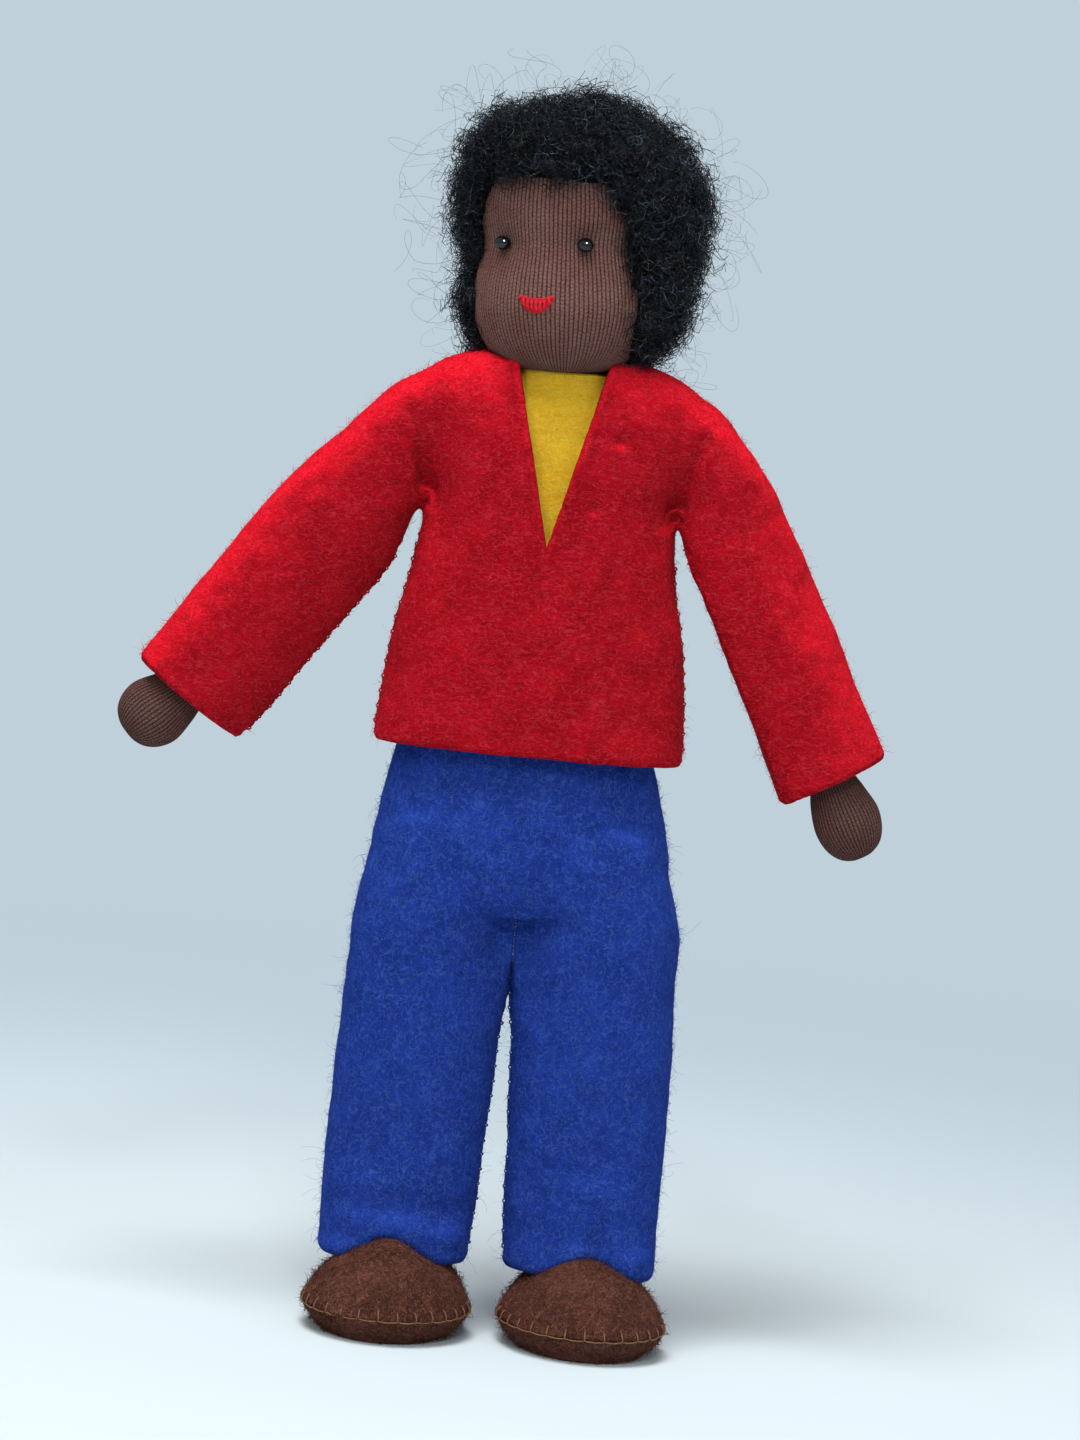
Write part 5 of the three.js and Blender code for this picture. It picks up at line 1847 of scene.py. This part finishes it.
class DOLL_OT_face(Maker, bpy.types.Operator):
    """Bead eyes and the mouth's embroidery"""

    bl_idname = "doll.face"
    bl_label = "Face"

    def make(self, scene):
        threads = scene.doll_thread
        finish = bead_finish("black_bead")
        low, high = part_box("eye_left")
        radius = (high.z - low.z) / 2 / MM
        for side in SIDES:
            points, faces = sphere(40, 24, radius)
            centre = eye_place(side)
            axis = head.turn[:, 2]
            out = centre - head.origin - (centre - head.origin) @ axis * axis
            out /= np.linalg.norm(out)
            across = np.cross(out, UP)
            flat = points - (points @ out)[:, None] * out * 0.14
            flat = flat - (points @ across)[:, None] * across * 0.12 - points * UP * 0.22
            made = put(f"bead_eye_{side}", flat * 0.96 + centre - out * 0.35, faces, finish)
            worn(made, "head", "black_bead", f"eye_{side}")
        self.mouth(threads)

    def mouth(self, threads):
        finish = thread_finish("red_thread", tuple(threads.mouth))
        surface = surface_of(bpy.data.objects["head_knit"])
        centre = head.inside(middle("mouth_stitch"))
        level = centre[2] + 0.97
        face = math.atan2(centre[0], -centre[1])
        half, parts = 2.0, []

        def on_face(x, z, lift):
            turn = face + x / FACE_RADIUS
            s, c = math.sin(turn), math.cos(turn)
            start = head.outside(np.array((OUTSIDE_HEAD * s, -OUTSIDE_HEAD * c, z)))
            aim = head.turn @ np.array((-s, c, 0.0))
            hit = surface.ray_cast(Vector(start), Vector(aim))[0]
            return np.array(hit) - aim * lift

        def top(u):
            return level + 0.3 - 0.4 * (1 - u**2)

        def bottom(u):
            return level + 0.3 - 1.9 * (1 - u**2) ** 0.62

        for i in range(16):
            u = -0.93 + 1.86 * i / 15
            v = u + (0.16 if i % 2 else -0.1)
            v = max(-0.97, min(0.97, v))
            path = [
                on_face(
                    half * (u + (v - u) * t), top(u) + (bottom(v) - top(u)) * t,
                    0.02 + 0.16 * math.sin(math.pi * t)
                    + 0.04 * (i % 3)) for t in np.linspace(0, 1, 8)]
            parts.append(thread(path, 0.19, 7, 1.8))
        for edge, lift in ((top, 0.12), (bottom, 0.06)):
            path = [on_face(half * u, edge(u), lift) for u in np.linspace(-1, 1, 24)]
            parts.append(thread(path, 0.13, 7, 1.8))
        made = strung("mouth_embroidery", threads_of(parts), finish)
        worn(made, "head", "red_thread", "mouth_stitch")


def surface_of(obj):
    """A tree for finding places on an object's surface, in millimetres."""
    points = coordinates(obj.data) / MM
    faces = [tuple(p.vertices) for p in obj.data.polygons]
    return BVHTree.FromPolygons(points.tolist(), faces)


def ball(centre, half):
    """Points and faces of an ellipsoid."""
    points, faces = sphere(32, 20, 1)
    return points * half + centre, faces


def soft_copy(node, name, voxel, rounds, lumps, finish, slot, body, seed=1, size=1.0, more=()):
    """A softer, rounder piece in place of a plain soft solid."""
    copy = bmesh.new()
    copy.from_mesh(frame["nodes"][node].data)
    bmesh.ops.remove_doubles(copy, verts=copy.verts, dist=1e-6)
    points, faces = mesh_lists(copy)
    points = points / MM
    centre = (points.min(0) + points.max(0)) / 2
    points = centre + (points - centre) * size
    skin = Skin(felted([(points, faces), *more], voxel, rounds))
    fine, wide = (waves(skin.points, voxel * n, seed + i) for i, n in enumerate((4, 9)))
    skin.push(lumps * fine + lumps * 0.5 * wide)
    made = worn(put(name, skin.points, skin.faces, finish), body, slot, node)
    return made, skin


class DOLL_OT_hair(Maker, bpy.types.Operator):
    """A cap of tight curls with loose hairs round it"""

    bl_idname = "doll.hair"
    bl_label = "Hair"

    @staticmethod
    def tapered(skin):
        """Draws the cap in towards its lower ends and out at its shoulders."""
        z = skin.points[:, 2]
        x = skin.points[:, 0] - head.origin[0] - 0.6
        right, left = (np.interp(z, HAIR_OUTLINE[:, 0], HAIR_OUTLINE[:, k]) for k in (1, 2))
        out = np.where(x < 0, -right, left)
        skin.points[:, 0] += out * np.clip(abs(x) / 12, 0, 1) ** 1.5
        skin.points[:, 2] -= 0.9 * np.clip((z - 138) / 10, 0, 1)
        skin.renew()

    def make(self, scene):
        settings = scene.doll_hair
        shade = tuple(settings.hair)
        ground = hair_ground_finish("hair_ground", shade)
        finish = hair_finish("curly_yarn", shade)
        lobes = [
            ball(waist + np.array((10.4, 0.4, 47.0)), np.array((4.8, 7.6, 6.6))),
            ball(waist + np.array((-11.5, 2.2, 45.8)), np.array((2.6, 5.2, 6.2))),
            ball(head.outside(np.array((0.3, 0.9, 26.2))), np.array((12.2, 11.4, 6.2)))]
        made, skin = soft_copy(
            "hair", "hair_base", 0.55, 3, 0.5, ground, "curly_yarn", "head", 31, 0.94, lobes)
        self.tapered(skin)
        made.data.vertices.foreach_set("co", (skin.points * MM).ravel())
        outer = np.where(head.room(skin.centres) > 0.25)[0]
        draw = np.random.default_rng(41)
        radius = settings.thickness / MM / 2
        paths = [
            curl_path(
                draw, draw.uniform(1.5, 3.2), draw.uniform(0.4, 0.85),
                draw.uniform(1.1, 2.0)) for _ in range(30)]
        members = variants("curls", paths, radius, 0.7)
        # A lighter copy of the hair for one batch of curls: painted highlights on the strands.
        painted_glint_finish = hair_finish("curly_yarn_lit", linear(72, 84, 94))
        def grow(name, members, density, seed, finish, lean, sizes):
            emitter = skin.emitter("hair_emitter", outer)
            made = fuzz_on(emitter, name, members, density, seed, finish, lean, sizes)
            worn(made, "head", "curly_yarn")

        for batch in range(5):
            name = f"hair_curls_{batch + 1}"
            grow(name, members, settings.curls / 5, 51 + batch, finish, 0.75, (0.6, 1.35))
        grow("hair_curls_lit", members, settings.curls / 13, 57, painted_glint_finish, 0.8, (0.6, 1.25))
        forget(members)
        paths = [stray_path(draw, draw.uniform(6.0, 13.0)) for _ in range(26)]
        members = variants("strays", paths, radius * 0.42, 0.6)
        grow("hair_strays", members, settings.strays, 61, finish, 0.7, (0.4, 1.2))
        forget(members)


# The hair's outline: height in the world, and how far its right and its left side go out.
HAIR_OUTLINE = np.array(
    [
        (114.0, -2.6, -4.0), (120.0, -2.6, -3.4), (123.5, -1.4, -2.4), (128.0, -1.9, -0.6),
        (133.5, -1.1, 0.5), (140.0, 0.0, 1.2), (145.0, 0.0, 1.7), (150.0, 0.0, 0.8)])


def hand_turn(side):
    """The frame of a hand: z from its tip to the wrist, x away from the body."""
    arm = sleeve_turn(side)
    lean = WRIST_LEAN[side]
    up = arm[:, 2] * math.cos(lean) - arm[:, 0] * math.sin(lean)
    return axes(up, BACK) @ spun(ARM_TWIST[side] * SIDES[side])


class DOLL_OT_hands(Maker, bpy.types.Operator):
    """Two knitted mittens, each tied at the wrist"""

    bl_idname = "doll.hands"
    bl_label = "Hands"

    def make(self, scene):
        settings = scene.doll_knit
        finish = knit_finish(
            "knitted_hand", scaled(settings.skin, HAND_SHADE), scaled(settings.gap, 0.9))
        tie = thread_finish("brown_thread", linear(138, 96, 64))
        outline = spline(
            [
                (0.05, -13.4), (1.5, -13.3), (3.0, -12.5), (4.1, -10.9), (4.5, -8.7), (3.8, -6.0),
                (2.9, -3.6), (2.75, -2.3), (3.0, -1.0), (2.6, -0.3)],
            56)
        outline = outline[outline[:, 0] > 0.3]
        for side in SIDES:
            wide, long = HAND_SIZE[side]

            def shape(rings):
                flat = rings.reshape(-1, 3)
                out = flat * np.array((1, 1, 0)) / 4
                bulge = 0.22 * waves(flat + SIDES[side] * 9, 5.0, 13)
                flat = flat + out * bulge[:, None]
                flat[:, 0] += 0.3 * np.sin((flat[:, 2] + 2) / 6)
                return flat.reshape(rings.shape)

            made = knitted(
                f"hand_knit_{side}", outline * np.array((wide, long)), (1.0, 0.8), hand_turn(side),
                pivot(f"wrist_{side}"), 52, settings, finish, shape)
            worn(made, f"hand_{side}", "knitted_skin", f"hand_{side}")
            angle = np.linspace(0, 4 * math.pi, 60)
            down = -2.2 + 0.5 * angle / (4 * math.pi)
            ring = np.stack([3.05 * np.cos(angle), 2.55 * np.sin(angle), down], 1)
            path = ring @ hand_turn(side).T + pivot(f"wrist_{side}")
            made = strung(f"wrist_thread_{side}", thread(path, 0.17, 8, 1.5), tie)
            worn(made, f"hand_{side}", "brown_thread", f"wrist_tie_{side}")


# Shoes

# Points round a shoe.
SHOE_SIDES = 120


def above_floor(obj):
    """Lays fibres that reach below the floor flat on it."""
    points = coordinates(obj.data)
    points[:, 2] = np.maximum(points[:, 2], 0.0)
    obj.data.vertices.foreach_set("co", points.ravel())


class DOLL_OT_shoes(Maker, bpy.types.Operator):
    """Two felt shoes, each a domed upper sewn to a shallow sole with blanket stitch"""

    bl_idname = "doll.shoes"
    bl_label = "Shoes"

    def make(self, scene):
        settings = scene.doll_felt
        threads = scene.doll_thread
        shade = tuple(settings.shoes)
        finish = felt_finish(
            "brown_felt", shade, linear(196, 128, 96), 2.6, 0.22, 0.9, (1.4, 1.4, 1.4), 0.1,
            0.0003)
        fuzz_material = fuzz_finish("brown_fuzz", linear(58, 30, 22), 4.2)
        members = nap_set("brown_fibres", 24, 0.95, 0.03)
        stitch = self.blanket_stitch(threads)
        tan = thread_finish("tan_thread", tuple(threads.tan))
        for side in SIDES:
            shoe = Shoe(side)
            upper = self.upper(shoe, side, finish)
            sole = self.sole(shoe, side, finish)
            for obj, node, seed in ((upper, "shoe_upper", 71), (sole, "shoe_sole", 73)):
                worn(obj, f"foot_{side}", "brown_felt", f"{node}_{side}")
                emitter, name = self.outer_faces(obj), f"{obj.name}_fuzz"
                nap = fuzz_on(emitter, name, members, 5.0, seed + SIDES[side], fuzz_material, 0.5)
                above_floor(nap)
                worn(nap, f"foot_{side}", "brown_felt")
            self.stitch_rim(shoe, side, stitch, tan, threads)
        bpy.data.objects.remove(stitch)
        forget(members)

    def turned(self, name, shoe, table, seed, finish):
        """An object from rows of half width, half depth, shift back and height."""
        rings = oval(SHOE_SIDES, 2.0, 2.0)[None] * table[:, None, :2]
        rings[..., 1] += table[:, None, 2]
        z = np.repeat(table[:, 3:4], SHOE_SIDES, 1)
        flat = np.concatenate([rings, z[..., None]], -1).reshape(-1, 3)
        away = flat - np.array((0, -shoe.forward, 6.0))
        away /= np.linalg.norm(away, axis=1)[:, None]
        wave = 0.34 * waves(flat, 5.0, seed) + 0.13 * waves(flat, 1.6, seed + 1)
        wave *= np.clip(flat[:, 2] / 1.2, 0, 1)
        flat = flat + away * wave[:, None]
        flat[:, 2] = np.maximum(flat[:, 2], 0)
        faces = grid_faces(len(table), SHOE_SIDES, wrap=True)
        return put(name, shoe.outside(flat), faces, finish)

    def upper(self, shoe, side, finish):
        share = np.linspace(0, 0.86, 44)
        outer = shoe.dome(share)
        outer[:, 3] += 0.12
        lip = np.exp(-(share / 0.045))
        outer[:, :2] += 0.25 * lip[:, None]
        inner = outer[::-1].copy()
        inner[:, :2] = np.maximum(inner[:, :2] - 1.15, 1.2)
        inner[:, 3] -= np.linspace(1.0, 0.1, len(inner))
        inner[-1, 3] = outer[0, 3]
        table = np.vstack([outer, inner])
        return self.turned(f"shoe_dome_{side}", shoe, table, 5 + SIDES[side], finish)

    def sole(self, shoe, side, finish):
        w, d = shoe.half
        back = -shoe.forward
        keys = [
            (0.4, 0.6, back, 0.0), (shoe.flat[0], shoe.flat[1], back, 0.0),
            (w - 1.5, d - 1.6, back, 0.7), (w - 0.3, d - 0.3, back, 2.0),
            (w + 0.25, d + 0.25, back, shoe.rim)]
        outer = spline(keys, 36)
        outer[:, 3] = np.maximum(outer[:, 3], 0)
        inner = outer[::-1].copy()
        inner[:, :2] = np.maximum(inner[:, :2] - 1.1, 0.3)
        inner[1:, 3] += np.linspace(0.0, 1.1, len(inner) - 1)
        inner[:, 3] = np.minimum(inner[:, 3], shoe.rim)
        table = np.vstack([outer, inner])
        return self.turned(f"shoe_base_{side}", shoe, table, 8 + SIDES[side], finish)

    def outer_faces(self, obj):
        mesh = obj.data
        rows = len(mesh.polygons) // SHOE_SIDES // 2 - 1
        faces = [tuple(mesh.polygons[i].vertices) for i in range(rows * SHOE_SIDES)]
        return put(obj.name + "_nap", coordinates(mesh) / MM, faces)

    def blanket_stitch(self, threads):
        """An upright leg over the rim and a run along it to the next leg."""
        pitch = threads.pitch / MM
        radius = threads.thickness / MM / 2
        leg = np.array(
            [(0, -0.3, -0.4), (0, 0.1, 0.2), (0, 0.55, 0.28), (0, 1.05, 0.24), (0, 1.35, -0.1)])
        share = np.linspace(0, 1, 7)
        sag = -0.05 - 0.12 * np.sin(math.pi * share)
        run = np.stack([share * pitch, sag, 0.12 - 0.05 * share], 1)
        return strung(
            "blanket_stitch", threads_of([thread(path, radius, 6, 1.5) for path in (leg, run)]))

    def stitch_rim(self, shoe, side, stitch, finish, threads):
        turn = np.linspace(0, math.tau, 1440, endpoint=False)
        line = np.stack(
            [
                (shoe.half[0] + 0.3) * np.cos(turn),
                (shoe.half[1] + 0.3) * np.sin(turn) - shoe.forward,
                np.full_like(turn, shoe.rim + 0.15)],
            1)
        closed = np.vstack([line, line[:1]])
        along = line_lengths(closed)
        count = round(along[-1] / (threads.pitch / MM))
        at = np.linspace(0, along[-1], count, endpoint=False)
        spots = np.stack([np.interp(at, along, closed[:, k]) for k in range(3)], 1)
        run = np.roll(spots, -1, 0) - spots
        facing = np.cross(run, UP)
        facing /= np.linalg.norm(facing, axis=1)[:, None]
        facing = facing * 0.9 + UP * 0.42
        made = stitches_along(
            f"shoe_stitches_{side}", shoe.outside(spots), facing @ shoe.turn.T, run @ shoe.turn.T,
            stitch, finish, 3, (0.97, 1.03))
        worn(made, f"foot_{side}", "brown_thread")


class DOLL_OT_inside(Maker, bpy.types.Operator):
    """What the clothes hide: wool windings and padding, and the steel skeleton"""

    bl_idname = "doll.inside"
    bl_label = "Inside"

    def make(self, scene):
        wool = wool_finish("white_wool", linear(217, 207, 189))
        steel = steel_finish("steel")
        wound = {
            "pelvis_padding": "pelvis", "chest_padding": "chest", "head_wool": "head",
            "neck_winding": "neck"}
        limbs = ("upper_arm", "forearm", "thigh", "shin")
        for side in SIDES:
            wound |= {f"{part}_knot_{side}": f"{part}_{side}" for part in ("shoulder", "hip")}
            wound |= {f"{limb}_winding_{side}": f"{limb}_{side}" for limb in limbs}
        for seed, (node, body) in enumerate(wound.items()):
            big = node.endswith("padding") or node == "head_wool"
            made, _ = soft_copy(
                node, node.replace("winding", "wound") + "_wool", 0.9 if big else 0.45, 3, 0.12,
                wool, "white_wool", body, seed)
        for name, obj in frame["nodes"].items():
            if name.endswith("wire") or "_wire_" in name or name.startswith("foot_weight"):
                obj.data.materials.clear()
                obj.data.materials.append(steel)
        angle = np.linspace(0, 6 * math.pi, 90)
        up = -0.35 + 0.7 * angle / (6 * math.pi)
        ring = np.stack([2.15 * np.cos(angle), 2.15 * np.sin(angle), up], 1)
        path = ring @ head.turn.T + middle("neck_tie")
        tie = bpy.data.materials["brown_thread"]
        made = strung("neck_thread", thread(path, 0.15, 6, 1.5), tie)
        worn(made, "head", "brown_thread", "neck_tie")


# Stage


class DOLL_OT_stage(Maker, bpy.types.Operator):
    """Pale floor and backdrop, soft lamps and the camera"""

    bl_idname = "doll.stage"
    bl_label = "Stage"

    def make(self, scene):
        settings = scene.doll_stage
        self.floor(settings)
        self.lamps(scene, settings)
        self.camera(scene, settings)

    def floor(self, settings):
        """A wide floor that keeps the shadow and fades into the plain backdrop."""
        radii = [0.06, 0.12, 0.24, 0.5, 1.0, 2.0, 4.5]
        turn = np.linspace(0, math.tau, 64, endpoint=False)
        points = [(0.0, 0.0, 0.0)]
        points += [(r * math.cos(t), r * math.sin(t), 0.0) for r in radii for t in turn]
        faces = [(0, 1 + i, 1 + (i + 1) % 64) for i in range(64)]
        rings = grid_faces(len(radii), 64)
        faces += [tuple(i + 1 for i in reversed(f)) for f in rings]
        finish = Finish("floor")
        at = finish.node("ShaderNodeTexCoord", output="Object")
        away = finish.node("ShaderNodeVectorMath", {"operation": "LENGTH"}, {0: at}, "Value")
        blotch = finish.noise(finish.moved(at, (6, 6, 6)), 1.0, 2.0) - 0.5
        shade = finish.mixed(
            away.rise(0.03, 0.3) + blotch * 0.12, tuple(settings.floor), tuple(settings.backdrop))
        paper = finish.node(
            "ShaderNodeBsdfPrincipled", None,
            {"Base Color": shade, "Roughness": 0.9, "Specular IOR Level": 0.1})
        glow = finish.node(
            "ShaderNodeEmission", None, {"Color": opaque(settings.backdrop), "Strength": 1.0})
        seen = finish.node("ShaderNodeLightPath", output="Is Camera Ray")
        blend = finish.node(
            "ShaderNodeMixShader", None, {0: away.rise(0.12, 0.42) * seen, 1: paper, 2: glow})
        finish.node("ShaderNodeOutputMaterial", None, {"Surface": blend})
        put("floor", np.array(points) / MM, faces, finish.material)

    def lamps(self, scene, settings):
        world = bpy.data.worlds.new("room")
        scene.world = world
        world.use_nodes = True
        nodes = Nodes(world.node_tree)
        light = nodes.node(
            "ShaderNodeBackground", None, {"Color": (0.96, 0.98, 1.0, 1), "Strength": 0.33})
        view = nodes.node(
            "ShaderNodeBackground", None, {"Color": opaque(settings.backdrop), "Strength": 1.0})
        seen = nodes.node("ShaderNodeLightPath", output="Is Camera Ray")
        for ray in ("Is Glossy Ray", "Is Transmission Ray"):
            seen = seen.most(nodes.node("ShaderNodeLightPath", output=ray))
        blend = nodes.node("ShaderNodeMixShader", None, {0: seen, 1: light, 2: view})
        nodes.node("ShaderNodeOutputWorld", None, {"Surface": blend})
        self.lamp("key", (-0.45, -0.75, 0.6), 0.45, 2.1, (1.0, 0.985, 0.96))
        self.lamp("fill", (0.7, -0.7, 0.35), 0.5, 1.3, (0.97, 0.985, 1.0))
        self.lamp("top", (-0.12, -0.28, 0.9), 0.4, 7.8, (1.0, 1.0, 1.0))
        self.lamp("front", (0.06, -0.72, 0.55), 0.12, 1.7, (1.0, 1.0, 1.0))
        self.lamp("glint", (0.2, -0.65, 0.7), 0.34, 18.0, (1.0, 1.0, 1.0))

    def lamp(self, name, place, size, power, shade):
        data = bpy.data.lights.new(name, "AREA")
        data.size = size
        data.energy = power
        data.color = shade
        obj = linked(name, data)
        obj.location = place
        aim = Vector((0, 0, 0.08)) - Vector(place)
        obj.rotation_euler = aim.to_track_quat("-Z", "Y").to_euler()
        obj.visible_glossy = name == "glint"
        obj.visible_diffuse = name != "glint"

    def camera(self, scene, settings):
        data = bpy.data.cameras.new("camera")
        obj = linked("camera", data)
        aim = Vector((0.00437, -0.004, 0.0747))
        down = settings.elevation
        back = Vector((0, -math.cos(down), math.sin(down)))
        obj.location = aim + back * settings.distance
        turn = (-back).to_track_quat("-Z", "Y").to_matrix().to_4x4()
        obj.matrix_world = (
            Matrix.Translation(obj.location) @ turn @ Matrix.Rotation(settings.roll, 4, "Z"))
        half = settings.view_height / 2 / settings.distance
        data.sensor_width = 36
        data.lens = 18 / half
        data.clip_start, data.clip_end = 0.01, 10
        scene.camera = obj
        scene.view_settings.view_transform = "Standard"


class DOLL_PT_panel(bpy.types.Panel):
    """Lists the doll's pieces"""

    bl_label = "Felt doll"
    bl_idname = "DOLL_PT_panel"
    bl_space_type = "VIEW_3D"
    bl_region_type = "UI"
    bl_category = "Doll"

    def draw(self, context):
        for operator in OPERATORS:
            self.layout.operator(operator.bl_idname)


SETTINGS = {
    "doll_felt": FeltSettings, "doll_knit": KnitSettings, "doll_hair": HairSettings,
    "doll_thread": ThreadSettings, "doll_stage": StageSettings}
OPERATORS = (
    DOLL_OT_tunic, DOLL_OT_undershirt, DOLL_OT_trousers, DOLL_OT_head, DOLL_OT_face, DOLL_OT_hair,
    DOLL_OT_hands, DOLL_OT_shoes, DOLL_OT_inside, DOLL_OT_stage)


def register():
    for kind in (*SETTINGS.values(), *OPERATORS, DOLL_PT_panel):
        bpy.utils.register_class(kind)
    for name, kind in SETTINGS.items():
        setattr(bpy.types.Scene, name, PointerProperty(type=kind))


def unregister():
    for name in SETTINGS:
        delattr(bpy.types.Scene, name)
    for kind in reversed((*SETTINGS.values(), *OPERATORS, DOLL_PT_panel)):
        bpy.utils.unregister_class(kind)


def main():
    register()
    bpy.ops.doll.tunic()
    bpy.ops.doll.undershirt()
    bpy.ops.doll.trousers()
    bpy.ops.doll.head()
    bpy.ops.doll.face()
    bpy.ops.doll.hair()
    bpy.ops.doll.hands()
    bpy.ops.doll.shoes()
    bpy.ops.doll.inside()
    bpy.ops.doll.stage()


if __name__ == "__main__":
    main()
